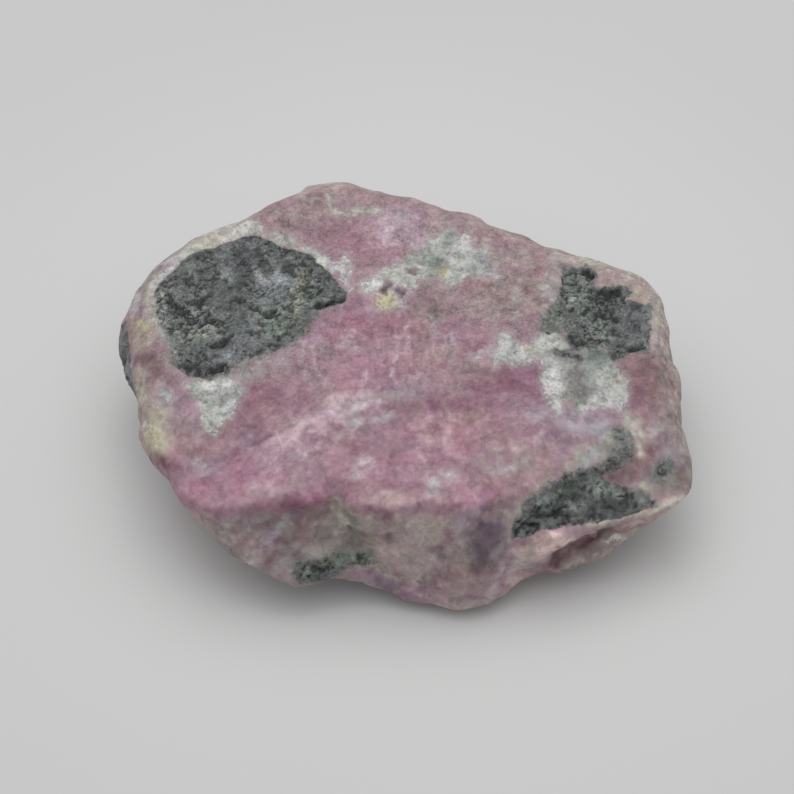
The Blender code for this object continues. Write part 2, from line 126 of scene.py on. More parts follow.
LEFT_SIDE_POD = [
    (117, 350), (120, 330), (126, 322), (128, 345), (130, 365), (134, 385), (135, 400), (125, 388),
    (119, 372)]
LEFT_PATCH = [
    (185, 385), (197, 380), (235, 378), (245, 392), (240, 400), (232, 415), (225, 420), (215, 436),
    (205, 430), (200, 415), (197, 400)]
CENTRE_VEIN = [
    (360, 284), (369, 279), (375, 280), (378, 269), (391, 268), (402, 263), (408, 260), (414, 252),
    (426, 248), (428, 239), (438, 237), (446, 230), (451, 228), (458, 234), (471, 234), (472, 240),
    (469, 247), (475, 251), (482, 247), (487, 250), (485, 260), (494, 267), (499, 277), (502, 283),
    (488, 277), (475, 274), (465, 277), (457, 283), (451, 287), (446, 283), (435, 277), (426, 280),
    (417, 280), (417, 289), (408, 297), (406, 307), (398, 310), (386, 311), (373, 307), (375, 298),
    (363, 292)]
RIGHT_VEIN = [
    (493, 359), (498, 332), (510, 334), (515, 341), (530, 346), (537, 339), (541, 333), (549, 329),
    (563, 337), (569, 346), (572, 354), (582, 350), (590, 346), (604, 347), (612, 357), (619, 371),
    (628, 380), (628, 396), (624, 411), (613, 409), (599, 408), (584, 413), (574, 411), (576, 402),
    (561, 402), (558, 416), (549, 404), (543, 391), (540, 380), (544, 369), (539, 361), (526, 365),
    (513, 366), (502, 361), (494, 368)]
LEFT_RIM = [
    (150, 322), (145, 300), (150, 284), (161, 272), (172, 264), (181, 252), (192, 241), (205, 233),
    (220, 226), (238, 221), (254, 219), (264, 226), (262, 234), (250, 234)] + LEFT_POD[:27:-1] + [
    (158, 318)]

# (outline, most distance in mm that counts inside it: a small one leaves it ragged)
PODS = [
    (LEFT_POD, 4), (RIGHT_POD, 4), (RIGHT_POD_FRINGE, 0.1), (FRONT_RIGHT_POD, 4),
    (FRONT_RIGHT_FRINGE, 0.1), (SMALL_RIGHT_POD, 0.15), (FRONT_POD, 4), (LEFT_SIDE_POD, 0.35)]
PALES = [(LEFT_PATCH, 0.45), (CENTRE_VEIN, 0.45), (RIGHT_VEIN, 0.8), (LEFT_RIM, 0.35)]
# (corners of the line, half width in pixels, most distance in mm that counts inside it)
PALE_STROKES = [
    ([(327, 195), (330, 205), (337, 212), (347, 215), (354, 212)], 2.6, 0.3),
    ([(360, 210), (376, 212)], 3.6, 0.3), ([(345, 262), (345, 276)], 7, 0.25),
    ([(315, 257), (334, 268)], 5.5, 0.3),
    ([(264, 236), (282, 243), (302, 248), (314, 254), (326, 262), (336, 271), (350, 289)],
     1.8, 0.3),
    ([(163, 392), (170, 400)], 4, 0.15), ([(276, 235), (292, 242)], 4, 0.15),
    ([(157, 320), (164, 336)], 3, 0.15), ([(607, 541), (619, 538)], 2.4, 0.2),
    ([(150, 425), (158, 445)], 6, 0.15)]
POD_STROKES = [([(555, 352), (578, 356)], 3, 0.1), ([(617, 434), (623, 440), (627, 446)], 5, 0.1)]

# Where a pod's edge melts into the stone round it. A soft place is u, v, half length and half width
# in pixels and, where it is turned, its turn in degrees. Here its share comes after it.
MELTING = [
    (285, 345, 60, 20, -32, 1), (235, 372, 22, 12, 1), (552, 318, 22, 30, 1),
    (600, 350, 40, 9, 0.7), (620, 442, 18, 16, 1), (662, 468, 16, 14, 1),
    (538, 502, 34, 14, -35, 0.7), (642, 494, 20, 7, 20, 0.7), (330, 562, 60, 14, -10, 0.8),
    (121, 345, 7, 40, 0.5), (576, 474, 34, 9, -12, 0.9), (655, 500, 14, 8, 0.9),
    (600, 356, 26, 10, 0.9), (566, 300, 7, 40, 0.5), (164, 335, 34, 8, 78, 0.9),
    (562, 524, 30, 6, -8, 0.5), (590, 264, 24, 6, 15, 0.8), (616, 288, 26, 7, 12, 0.7),
    (651, 318, 6, 26, 0.5)]
# Where a pod crumbles into small lumps: place, share
CRUMBLING = [
    (186, 312, 36, 24, 20, 1), (200, 362, 32, 14, 1), (270, 332, 20, 12, 0.7),
    (322, 285, 24, 20, 30, 0.7), (272, 256, 26, 12, 0.6), (606, 302, 28, 20, 1),
    (598, 335, 30, 16, 0.7), (560, 512, 50, 14, -12, 0.4), (325, 570, 14, 8, 0.7)]

# Places where the skin breaks down into the stone: corners, half width in pixels, depth in mm
PITS = [
    ([(383, 289), (388, 284)], 4.6, 0.3), ([(398, 289), (403, 292)], 4.4, 0.3),
    ([(411, 271), (414, 272)], 3, 0.25), ([(345, 268), (345, 269)], 2, 0.25),
    ([(348, 525), (350, 526)], 2, 0.3)]
# Crevices: corners, half width in pixels, depth in mm. They sink the skin, and the material paints
# shade in them.
CREVICES = [
    ([(316, 305), (330, 303), (343, 300)], 2.6, 0.5), ([(231, 299), (246, 300)], 2, 0.4),
    ([(252, 306), (262, 311), (270, 316), (276, 312)], 2, 0.45),
    ([(213, 346), (222, 342), (232, 334)], 2, 0.4), ([(183, 362), (190, 370)], 2.6, 0.35),
    ([(212, 369), (224, 366)], 2.8, 0.4), ([(282, 338), (290, 334)], 2, 0.25),
    ([(196, 301), (211, 294)], 2, 0.4), ([(262, 313), (262, 336)], 1.4, 0.3),
    ([(246, 334), (262, 333)], 1.4, 0.3), ([(168, 300), (178, 306), (186, 318)], 1.6, 0.3),
    ([(186, 318), (200, 324), (214, 320)], 1.6, 0.3),
    ([(240, 262), (252, 268), (262, 264)], 1.4, 0.25), ([(284, 286), (296, 300)], 1.4, 0.25),
    ([(600, 291), (608, 295), (616, 291)], 2.4, 0.35), ([(584, 271), (591, 277)], 2, 0.35),
    ([(598, 311), (606, 317)], 2.4, 0.35), ([(611, 314), (617, 320)], 2.4, 0.35),
    ([(574, 339), (581, 344)], 2.4, 0.3), ([(629, 351), (643, 346)], 2, 0.3),
    ([(516, 533), (526, 524), (536, 527)], 2.4, 0.35),
    ([(538, 516), (548, 518), (556, 516)], 1.6, 0.25), ([(590, 518), (606, 516)], 1.4, 0.25),
    ([(324, 572), (332, 568)], 1.8, 0.25), ([(306, 575), (312, 580)], 1.6, 0.25)]
# Broken ground that lies lower than the skin round it: outline, depth in mm. The deep ones also get
# painted shade.
STEPS = [
    ([(546, 566), (553, 556), (568, 544), (586, 536), (596, 541), (582, 549), (566, 557),
      (558, 566)], 0.24),
    ([(594, 540), (597, 531), (612, 528), (622, 533), (608, 541)], 0.26),
    ([(558, 566), (566, 557), (582, 549), (600, 541), (618, 534), (640, 524), (652, 528),
      (625, 546), (600, 562), (575, 568)], 0.12)]

# The broken front faces under the edge of the top
FRONT_FACE = [
    (170, 520), (215, 518), (260, 515), (300, 509), (330, 500), (345, 502), (362, 514), (400, 512),
    (440, 513), (470, 508), (498, 508), (512, 520), (514, 545), (530, 580), (505, 615), (440, 640),
    (360, 620), (280, 610), (200, 580)]

# Soft patches of colour: place, colour, strength. A few of them are painted shade and shadow,
# marked where they stand.
GROUND_TINTS = [
    (300, 215, 75, 26, -20, RUSSET, 0.7), (335, 185, 80, 7, -5, BEIGE, 0.55),
    (480, 222, 80, 6, 17, BEIGE, 0.6), (300, 214, 22, 12, -30, UMBER, 0.4),
    (340, 225, 34, 14, 10, MAGENTA, 0.5), (412, 224, 34, 14, 10, LILAC, 0.6),
    (400, 236, 34, 12, 10, SILK, 1), (310, 240, 32, 12, 15, MAGENTA, 0.35),
    (450, 215, 45, 12, 15, RUSSET, 0.65), (505, 262, 62, 34, 15, RUSSET, 0.9),
    (475, 300, 60, 26, RUSSET, 0.75), (500, 250, 28, 16, 15, SAND, 0.4),
    (505, 308, 40, 12, BEIGE, 0.3), (530, 290, 40, 34, UMBER, 0.4),
    (420, 308, 14, 10, UMBER, 0.55), (455, 326, 14, 9, MAGENTA, 0.75), (434, 312, 10, 6, ASH, 0.4),
    (553, 290, 8, 24, HAZE, 0.6), (600, 262, 45, 6, 17, CREAM, 0.75),
    (622, 282, 34, 12, 20, BEIGE, 1), (630, 287, 20, 7, 20, TAN, 0.55),
    (612, 276, 12, 6, 10, SAND, 0.6), (652, 296, 12, 26, SAND, 0.9),
    (661, 345, 10, 50, -5, BEIGE, 0.85), (660, 330, 8, 30, -5, LILAC, 0.5),
    (648, 377, 24, 26, UMBER, 1), (651, 382, 16, 20, MAROON, 0.4), (640, 374, 18, 18, DEEP, 0.35),
    (676, 412, 9, 40, -8, BEIGE, 0.5), (662, 408, 16, 14, UMBER, 0.6),
    (684, 445, 9, 22, PEARL, 0.45), (674, 478, 22, 24, ASH, 1.3), (677, 482, 14, 16, UMBER, 0.6),
    (345, 350, 34, 20, 10, SILK, 0.22), (332, 353, 8, 9, DEEP, 0.45), (356, 354, 7, 8, DEEP, 0.35),
    (389, 325, 12, 8, DEEP, 0.4), (352, 380, 9, 10, HOT, 0.45), (344, 340, 6, 6, BLUSH, 0.35),
    (322, 372, 9, 9, MAGENTA, 0.4), (372, 364, 8, 10, HOT, 0.4),
    (330, 320, 26, 16, -30, MAGENTA, 0.6), (352, 322, 14, 10, HOT, 0.4),
    (300, 365, 24, 26, RUSSET, 0.45), (280, 366, 30, 9, -30, RUSSET, 0.5),
    (415, 345, 24, 24, SALMON, 0.28), (378, 338, 22, 24, HOT, 0.25),
    (442, 354, 16, 9, SALMON, 0.45), (470, 372, 34, 14, RUSSET, 0.45),
    (520, 378, 26, 16, DEEP, 0.75), (494, 388, 24, 13, DEEP, 0.55), (445, 405, 34, 7, DEEP, 0.85),
    (520, 428, 34, 12, -10, MAGENTA, 1.1), (528, 412, 20, 16, -20, LILAC, 0.45),
    (478, 338, 30, 14, MAGENTA, 0.5), (407, 394, 16, 10, LILAC, 0.6),
    (560, 418, 36, 10, 10, LILAC, 0.6), (545, 440, 50, 16, -8, LILAC, 0.4),
    (358, 402, 20, 6, -8, BLUSH, 0.75), (420, 470, 40, 16, HOT, 0.3),
    (416, 471, 26, 10, SILK, 0.35), (468, 428, 16, 14, -10, SALMON, 0.6),
    (495, 440, 30, 12, -10, SALMON, 0.3), (434, 446, 40, 22, HOT, 0.6),
    (430, 440, 26, 14, ROSE, 0.45), (425, 430, 8, 24, -12, PEACH, 0.25),
    (448, 430, 6, 22, 12, PEACH, 0.2), (404, 412, 30, 6, DEEP, 0.4),
    (268, 395, 34, 10, 2, DEEP, 0.7), (246, 412, 22, 12, -20, UMBER, 0.45),
    (238, 425, 26, 18, -30, MAGENTA, 0.6), (300, 427, 34, 12, -32, BLUSH, 0.62),
    (298, 442, 44, 14, -32, SILK, 0.55), (335, 455, 30, 14, -20, ROSE, 0.35),
    (255, 440, 30, 14, -20, MAGENTA, 0.4), (252, 464, 30, 18, HOT, 0.3),
    (198, 440, 24, 18, RUSSET, 0.6), (213, 490, 24, 12, HOT, 0.7), (178, 475, 14, 14, HOT, 0.5),
    (246, 478, 26, 10, -10, HOT, 0.55), (268, 487, 18, 6, -10, BLUSH, 0.35),
    (255, 508, 46, 6, -3, DEEP, 0.5), (240, 505, 34, 6, -3, HOT, 0.4),
    (266, 507, 14, 5, -3, DEEP, 0.35), (205, 512, 22, 6, 25, MAGENTA, 0.6),
    (305, 500, 28, 9, -10, DEEP, 0.75), (308, 514, 14, 8, PLUM, 0.5),
    (362, 467, 12, 8, -30, BLUSH, 0.8), (340, 482, 26, 10, -20, HOT, 0.5),
    (395, 482, 36, 10, MAGENTA, 0.35), (372, 510, 18, 6, 10, DEEP, 0.75),
    (385, 500, 22, 5, PEACH, 0.55), (435, 497, 30, 4, PEACH, 0.45), (477, 496, 16, 14, HOT, 0.85),
    (424, 514, 14, 7, MAROON, 0.4), (455, 508, 22, 7, DEEP, 0.45),
    (508, 463, 30, 13, -15, RUSSET, 0.95), (500, 460, 22, 11, -15, UMBER, 0.2),
    (540, 466, 24, 11, -25, RUSSET, 0.8), (508, 520, 12, 22, 25, BEIGE, 0.75),
    (602, 422, 20, 10, VIOLET, 0.55), (575, 470, 30, 10, -20, RUSSET, 0.6),
    (630, 466, 24, 11, -28, DEEP, 1.1), (619, 474, 10, 6, PLUM, 0.6),
    (642, 461, 10, 10, -40, MAROON, 0.9), (663, 467, 12, 8, -20, SOOT, 1),
    (655, 474, 12, 8, ASH, 0.6), (668, 455, 12, 14, LILAC, 0.6), (405, 555, 44, 26, ASH, 0.15),
    (450, 565, 46, 24, LILAC, 0.25), (425, 528, 40, 8, BEIGE, 0.2), (487, 538, 17, 22, PLUM, 1.1),
    (486, 540, 9, 14, PLUM, 0.8), (466, 520, 14, 9, VIOLET, 0.6), (449, 550, 16, 10, PLUM, 0.85),
    (389, 536, 5, 11, 25, UMBER, 0.85), (450, 588, 22, 10, 10, VIOLET, 0.6),
    (462, 572, 24, 11, VIOLET, 0.7), (460, 571, 24, 12, UMBER, 1.2),
    (450, 595, 22, 9, UMBER, 0.35), (478, 596, 14, 8, PLUM, 0.3),
    (500, 565, 12, 16, 20, LILAC, 0.5), (270, 545, 50, 20, 30, LILAC, 0.25),
    (240, 542, 26, 12, 35, SAND, 0.7), (212, 527, 32, 6, 38, SAND, 0.6),
    (235, 540, 8, 8, MAROON, 0.35), (268, 578, 26, 6, 20, VIOLET, 0.55),
    (320, 540, 16, 18, OLIVE, 1), (306, 528, 20, 10, -30, UMBER, 0.5),
    # the UMBER patch at 350, 573 is painted shade under the front pod
    (350, 573, 24, 6, -3, UMBER, 1.25), (346, 538, 24, 20, 10, OLIVE, 0.9),
    (334, 516, 11, 12, OLIVE, 0.8), (380, 562, 14, 10, 30, BEIGE, 0.6),
    (388, 586, 34, 7, 22, VIOLET, 1.2), (386, 588, 26, 5, 22, PLUM, 0.5),
    (544, 546, 20, 10, -38, SHELL, 1.6), (528, 560, 16, 10, -38, SAND, 0.8),
    # the UMBER patches at 592, 552 and 614, 532 are painted shadow under the front right ledges
    (572, 534, 22, 5, -12, SAND, 0.8), (592, 552, 42, 10, -22, UMBER, 1.25),
    (614, 532, 20, 7, -10, UMBER, 1.2), (640, 531, 16, 6, -25, RUSSET, 0.8),
    (645, 515, 34, 6, -20, SAND, 0.8), (662, 506, 22, 6, -30, SALMON, 0.7),
    (246, 368, 28, 10, -10, SAGE, 0.75), (290, 350, 34, 9, -35, LILAC, 0.45),
    (172, 256, 34, 7, -38, LILAC, 0.85), (176, 253, 26, 5, -38, HAZE, 0.6),
    (222, 222, 30, 6, -20, CREAM, 0.8), (136, 306, 9, 13, 15, HAZE, 1),
    (141, 291, 14, 7, -45, MIST, 0.6), (142, 335, 13, 14, TAN, 1), (147, 328, 7, 7, OCHRE, 0.6),
    (165, 332, 5, 22, -12, SAGE, 0.9), (160, 360, 12, 14, RUSSET, 0.7),
    (149, 364, 9, 9, MAROON, 1), (160, 374, 12, 7, UMBER, 0.8), (139, 386, 8, 14, SAND, 1.1),
    (150, 405, 14, 30, -8, BEIGE, 0.7), (146, 392, 8, 8, TAN, 0.6),
    (157, 435, 12, 16, OCHRE, 0.85), (182, 410, 20, 20, LILAC, 0.45),
    (190, 428, 20, 14, UMBER, 0.22), (175, 420, 10, 14, RUSSET, 0.55),
    (166, 461, 14, 6, 20, MAROON, 0.75)]
# Soft lines of colour: corners, half width in pixels, colour, strength. A few are painted shade and
# light at the front right ledges, marked where they stand.
GROUND_STROKES = [
    ([(432, 488), (440, 479), (451, 478)], 6, PEARL, 0.65),
    ([(500, 470), (514, 468), (530, 455)], 3.4, HAZE, 0.5),
    ([(484, 476), (492, 470), (500, 462)], 3.4, HAZE, 0.5),
    ([(338, 416), (349, 425), (362, 420)], 4.6, HAZE, 0.62),
    ([(376, 421), (390, 417)], 4, HAZE, 0.6),
    ([(468, 358), (480, 353), (494, 350)], 3.4, HAZE, 0.85),
    ([(303, 337), (303, 358), (307, 379)], 1.6, HAZE, 0.65),
    ([(398, 336), (396, 358), (391, 376)], 1.6, BLUSH, 0.65),
    ([(407, 322), (404, 350)], 1.8, BLUSH, 0.5), ([(391, 376), (400, 390)], 1.8, BLUSH, 0.5),
    ([(452, 334), (455, 350), (452, 362)], 1.8, HAZE, 0.45),
    ([(443, 340), (445, 356)], 1.6, HAZE, 0.35),
    ([(243, 440), (250, 436), (250, 448)], 2.4, HAZE, 0.7),
    ([(196, 464), (204, 470)], 4, HAZE, 0.5), ([(212, 466), (222, 470)], 5, LILAC, 0.55),
    ([(345, 262), (362, 272), (372, 284)], 2, LILAC, 0.6),
    ([(334, 500), (340, 512), (345, 522)], 3.4, CREAM, 0.8),
    ([(425, 404), (472, 407)], 2.6, DEEP, 0.5), ([(424, 402), (432, 440)], 2, PEACH, 0.35),
    ([(440, 410), (447, 450)], 2, PEACH, 0.35),
    ([(496, 450), (525, 447), (547, 428)], 2.4, BLUSH, 0.4),
    ([(417, 447), (421, 458), (427, 468)], 2.4, BLUSH, 0.5),
    ([(446, 408), (452, 424), (449, 446)], 1.8, PEACH, 0.4),
    ([(450, 455), (468, 459)], 2, PEACH, 0.4), ([(398, 446), (390, 462)], 3, DEEP, 0.4),
    ([(312, 348), (315, 366), (324, 385)], 1.6, BLUSH, 0.5),
    ([(346, 391), (337, 403)], 2.2, BLUSH, 0.55), ([(385, 392), (377, 407)], 2, BLUSH, 0.5),
    ([(352, 330), (356, 352)], 1.8, BLUSH, 0.4),
    ([(366, 374), (360, 392), (348, 404)], 2.2, BLUSH, 0.45),
    ([(432, 316), (436, 332), (446, 340)], 1.6, HAZE, 0.5),
    ([(452, 336), (450, 350)], 1.6, HAZE, 0.5), ([(412, 350), (424, 366)], 2, PEACH, 0.4),
    ([(265, 450), (300, 425), (330, 412)], 3.6, BLUSH, 0.28),
    ([(280, 470), (310, 448), (345, 436)], 3, BLUSH, 0.22),
    ([(240, 455), (262, 440), (285, 418)], 3, DEEP, 0.4),
    ([(232, 560), (262, 522)], 4, UMBER, 0.55), ([(246, 566), (288, 516)], 2.4, HAZE, 0.6),
    ([(262, 572), (306, 522)], 4, UMBER, 0.75), ([(282, 564), (318, 524)], 2.2, HAZE, 0.5),
    ([(292, 556), (328, 512)], 4, UMBER, 0.65), ([(340, 548), (374, 554)], 3, MOSS, 0.6),
    ([(590, 524), (640, 514), (684, 498)], 3, CREAM, 0.85),
    # painted shadow in the recess under the front right ledge
    ([(556, 564), (572, 553), (592, 543)], 3, MAROON, 0.75),
    ([(500, 574), (494, 592)], 2.4, HAZE, 0.6),
    ([(566, 566), (604, 556), (640, 531)], 2.2, CREAM, 0.35),
    ([(204, 509), (230, 511), (262, 509), (300, 503)], 4, DEEP, 0.35),
    ([(484, 522), (489, 540), (484, 556)], 9, PLUM, 0.75),
    ([(444, 556), (456, 545)], 6, PLUM, 0.5), ([(612, 475), (628, 472)], 5, MAROON, 1),
    ([(628, 471), (640, 463), (648, 452)], 6, UMBER, 1.2),
    ([(634, 462), (642, 450)], 2.6, MAROON, 0.7), ([(518, 560), (530, 545)], 4, CREAM, 0.5),
    ([(560, 424), (585, 430), (605, 425)], 4, HAZE, 0.5),
    ([(568, 467), (576, 459), (580, 448)], 4.6, LICHEN, 1),
    ([(584, 464), (594, 456), (603, 446)], 7, CELADON, 1.1),
    ([(606, 460), (608, 447), (612, 436)], 3.6, LICHEN, 1.1),
    ([(626, 412), (627, 424), (632, 434)], 4, CREAM, 1),
    ([(637, 424), (642, 438), (640, 452)], 4.4, CREAM, 1),
    ([(526, 504), (534, 492), (546, 484)], 5, OLIVE, 0.55),
    ([(530, 496), (537, 488)], 2.6, LICHEN, 0.6), ([(512, 524), (520, 508)], 4, LICHEN, 0.5),
    ([(626, 484), (644, 488), (656, 496)], 4, OLIVE, 0.8),
    ([(643, 486), (646, 489)], 2.6, LICHEN, 0.8), ([(592, 436), (600, 430)], 5, MIST, 0.6),
    ([(141, 326), (148, 334), (146, 344)], 5, BEIGE, 0.9),
    ([(138, 322), (144, 328)], 3, OCHRE, 0.8),
    ([(144, 358), (151, 366), (158, 374)], 5, MAROON, 0.95),
    ([(156, 370), (172, 380)], 5, UMBER, 1.1), ([(138, 374), (142, 396)], 5, CREAM, 0.9),
    ([(150, 378), (156, 396)], 3.4, UMBER, 0.6), ([(655, 288), (659, 322)], 5, CREAM, 0.7),
    ([(652, 434), (662, 428)], 5, PEARL, 0.4), ([(655, 507), (671, 503)], 2.6, CREAM, 0.8),
    ([(366, 556), (376, 566), (398, 581)], 2.4, CREAM, 0.7),
    # painted shade at the low edge of the small step
    ([(594, 540), (602, 535)], 3.4, MAROON, 0.7),
    # painted light on the top edge of the front right ledge
    ([(550, 556), (568, 543), (592, 533)], 1.8, BLUSH, 0.7)]
PALE_TINTS = [
    (385, 301, 10, 9, OCHRE, 1), (442, 271, 6, 6, OCHRE, 0.9), (460, 256, 12, 8, WHITE, 0.4),
    (230, 232, 26, 8, -20, CREAM, 0.7), (437, 262, 8, 6, PINE, 0.8), (452, 237, 6, 6, PINE, 0.9),
    (448, 243, 4, 8, SAGE, 0.9), (434, 272, 4, 6, PINE, 0.6), (415, 258, 14, 6, -30, SAGE, 0.8),
    (369, 282, 9, 8, WHITE, 0.9), (464, 242, 9, 9, WHITE, 0.6), (480, 262, 16, 10, 30, MIST, 0.5),
    (500, 276, 10, 8, 30, LILAC, 0.6), (408, 300, 9, 9, LILAC, 0.8),
    (411, 281, 8, 7, CELADON, 0.5), (525, 349, 6, 4, OCHRE, 1), (520, 353, 14, 9, PEARL, 0.6),
    (505, 350, 12, 14, PEARL, 0.6), (591, 405, 9, 6, WHITE, 1), (578, 380, 12, 20, ASH, 1),
    (578, 388, 14, 12, ASH, 0.9), (598, 356, 15, 10, PINE, 1), (590, 372, 8, 8, SAGE, 0.7),
    (555, 378, 8, 12, WHITE, 0.9), (620, 381, 4, 5, OCHRE, 0.5), (612, 385, 12, 12, CELADON, 0.6),
    (566, 355, 14, 5, MOSS, 0.7), (553, 336, 10, 9, CELADON, 0.8), (216, 386, 12, 6, WHITE, 0.9),
    (218, 395, 20, 6, SAGE, 0.6), (208, 415, 12, 16, CELADON, 0.6),
    (200, 245, 60, 5, -22, PEARL, 0.7), (205, 243, 20, 9, -20, OCHRE, 0.35),
    (150, 303, 7, 16, TAN, 0.45), (440, 482, 16, 10, PEARL, 0.7), (340, 205, 30, 14, BEIGE, 0.8),
    (345, 420, 40, 10, HAZE, 0.8), (345, 268, 9, 12, PEARL, 0.7),
    (324, 262, 14, 8, 30, WHITE, 0.5), (166, 396, 10, 8, MIST, 0.6), (205, 468, 18, 8, HAZE, 0.7),
    (155, 435, 9, 14, OCHRE, 0.8), (612, 540, 12, 5, CREAM, 0.7),
    (640, 512, 50, 5, -15, BEIGE, 0.8)]
POD_TINTS = [
    (242, 254, 18, 14, STEEL, 0.9), (242, 256, 14, 10, SOOT, 0.35), (227, 297, 12, 9, STEEL, 0.8),
    (228, 297, 11, 8, SOOT, 0.45), (276, 286, 11, 15, STEEL, 1), (276, 284, 9, 12, MIST, 0.3),
    (247, 322, 13, 11, STEEL, 1), (233, 355, 14, 11, STEEL, 1), (233, 356, 13, 10, MIST, 0.4),
    (170, 304, 14, 14, SOOT, 0.25), (242, 281, 18, 9, SOOT, 0.3), (205, 352, 14, 10, SOOT, 0.5),
    (190, 342, 12, 12, SOOT, 0.3), (238, 282, 16, 9, SOOT, 0.48), (619, 440, 12, 14, SAGE, 0.8),
    (324, 272, 20, 14, 35, SOOT, 0.25), (197, 330, 20, 14, MOSS, 0.7),
    # the SOOT patch at 204, 369 is painted shade of the step along the pod's lower edge
    (204, 369, 22, 7, 5, SOOT, 0.45), (300, 294, 10, 20, 10, MOSS, 0.7),
    (276, 323, 14, 13, MOSS, 1), (166, 322, 6, 22, -15, SAGE, 0.35),
    # the SOOT patch at 334, 304 is painted shade of the step down from the pod to the pink
    (334, 304, 15, 4, -12, SOOT, 0.9), (302, 322, 12, 8, -30, SOOT, 0.35),
    # the SOOT patch at 608, 294 is painted shadow under the pink that overhangs the right pod
    (608, 294, 14, 7, SOOT, 0.8), (608, 315, 12, 7, SOOT, 0.4), (576, 343, 7, 6, SOOT, 0.6),
    (552, 315, 10, 14, MOSS, 0.8), (578, 290, 12, 20, MOSS, 0.6), (635, 322, 14, 20, STEEL, 0.9),
    (622, 318, 14, 14, SOOT, 0.22), (600, 335, 14, 10, MOSS, 0.5),
    (548, 510, 30, 12, -15, SOOT, 0.35), (600, 505, 36, 12, SOOT, 0.62),
    (325, 571, 9, 5, -20, SOOT, 0.45), (345, 560, 26, 6, -10, MOSS, 0.8),
    (303, 575, 9, 8, MOSS, 0.5), (350, 560, 20, 5, -8, MOSS, 0.4), (126, 350, 8, 30, STEEL, 0.6),
    (540, 503, 8, 5, MIST, 0.45), (575, 505, 10, 5, -20, SAGE, 0.45), (600, 488, 9, 7, SAGE, 0.5),
    (619, 494, 5, 5, PEARL, 0.35), (562, 497, 9, 6, SOOT, 0.55), (545, 516, 10, 5, SOOT, 0.45),
    (576, 482, 8, 5, SOOT, 0.5), (623, 487, 6, 5, SOOT, 0.55), (280, 280, 7, 6, MIST, 0.6),
    (256, 290, 10, 10, MIST, 0.35), (228, 276, 5, 5, MIST, 0.5), (286, 268, 6, 4, SOOT, 0.65),
    (241, 299, 4, 3, SOOT, 0.8), (198, 302, 8, 3, SOOT, 0.7), (170, 313, 4, 4, SOOT, 0.7),
    (226, 345, 10, 4, -10, SOOT, 0.65), (279, 346, 8, 4, -20, SOOT, 0.5),
    (590, 320, 8, 6, MIST, 0.3), (572, 300, 6, 8, SAGE, 0.35), (596, 316, 5, 4, SOOT, 0.7),
    (612, 330, 6, 4, SOOT, 0.6), (594, 342, 6, 4, SOOT, 0.5)]
POD_TINT_STROKES = [
    ([(296, 314), (300, 292), (306, 268)], 2.4, STRAW, 0.5),
    ([(286, 304), (296, 282), (300, 262)], 2, SAGE, 0.6),
    ([(310, 300), (313, 280), (316, 268)], 2, SAGE, 0.5),
    ([(262, 310), (262, 338)], 1.8, SAGE, 0.7), ([(265, 322), (285, 318)], 4, MOSS, 0.7),
    ([(160, 296), (166, 330), (174, 356)], 3, SAGE, 0.6),
    ([(203, 335), (211, 327)], 3, PEARL, 0.55), ([(256, 268), (262, 280)], 2.4, HAZE, 0.55),
    ([(520, 528), (540, 505), (560, 490)], 3.4, SAGE, 0.45),
    ([(600, 486), (640, 500)], 3.4, MOSS, 0.6), ([(560, 498), (590, 512)], 2, STEEL, 0.5)]

# Pods and pale patches on the sides that the main view doesn't reach:
# centre in mm, radii in mm, most distance in mm that counts inside
FAR_PODS = [
    ((13, 15.5, 6.5), (4.6, 3.4, 3.2), 4), ((-14.5, 15, 5), (4.2, 3.4, 2.6), 4),
    ((-3, 20.5, 8), (3.2, 2.4, 2.2), 0.3), ((24.5, 3, 5.5), (3, 4.2, 2.2), 0.3),
    ((3, 4, 0.5), (6, 4.4, 2.6), 4), ((-15, -2, 2.5), (4.6, 3.4, 2.6), 4),
    ((14.5, -7, 1.5), (3.8, 3, 2.4), 0.3)]
FAR_PALES = [
    ((8, 18, 7.5), (3.6, 2.4, 3), 0.4), ((-9.5, 18, 6), (2.6, 2.6, 3.4), 0.4),
    ((21, 10, 6), (2.6, 3.4, 2.6), 0.4), ((-22, 10, 6), (3, 4, 2.2), 0.4),
    ((9.5, 6.5, 0.5), (3.4, 3, 2.4), 0.4), ((-10, 5, 1), (3.2, 2.4, 2.4), 0.4),
    ((-4, -9, 1), (3.4, 2.2, 2), 0.4)]
FAR_COLOURS = [RUSSET, ROSE, BEIGE, LILAC, MAGENTA]

# Blotches of the weathered rim and its broken ground: colour, size in mm
MOTLEY = [(BEIGE, 2), (LILAC, 1.7), (UMBER, 1.3), (CREAM, 1.1), (SAGE, 1.2), (MAROON, 0.9)]
# Where they lie: place, share
MOTLEY_PLACES = [
    (148, 385, 20, 90, 6, 0.2), (160, 275, 60, 12, -38, 0.3), (655, 450, 40, 40, 0.14),
    (672, 370, 10, 60, -8, 0.4), (640, 280, 34, 8, 25, 0.3), (600, 548, 60, 10, -14, 0.18),
    (430, 545, 80, 30, 0.12), (265, 550, 70, 26, 32, 0.15), (530, 295, 40, 36, 0.22),
    (320, 205, 50, 18, -15, 0.2)]
MOTLEY_EDGE = (0.05, 0.30)  # noise, from no blotch to a full one
FAR_MOTLEY = 0.6

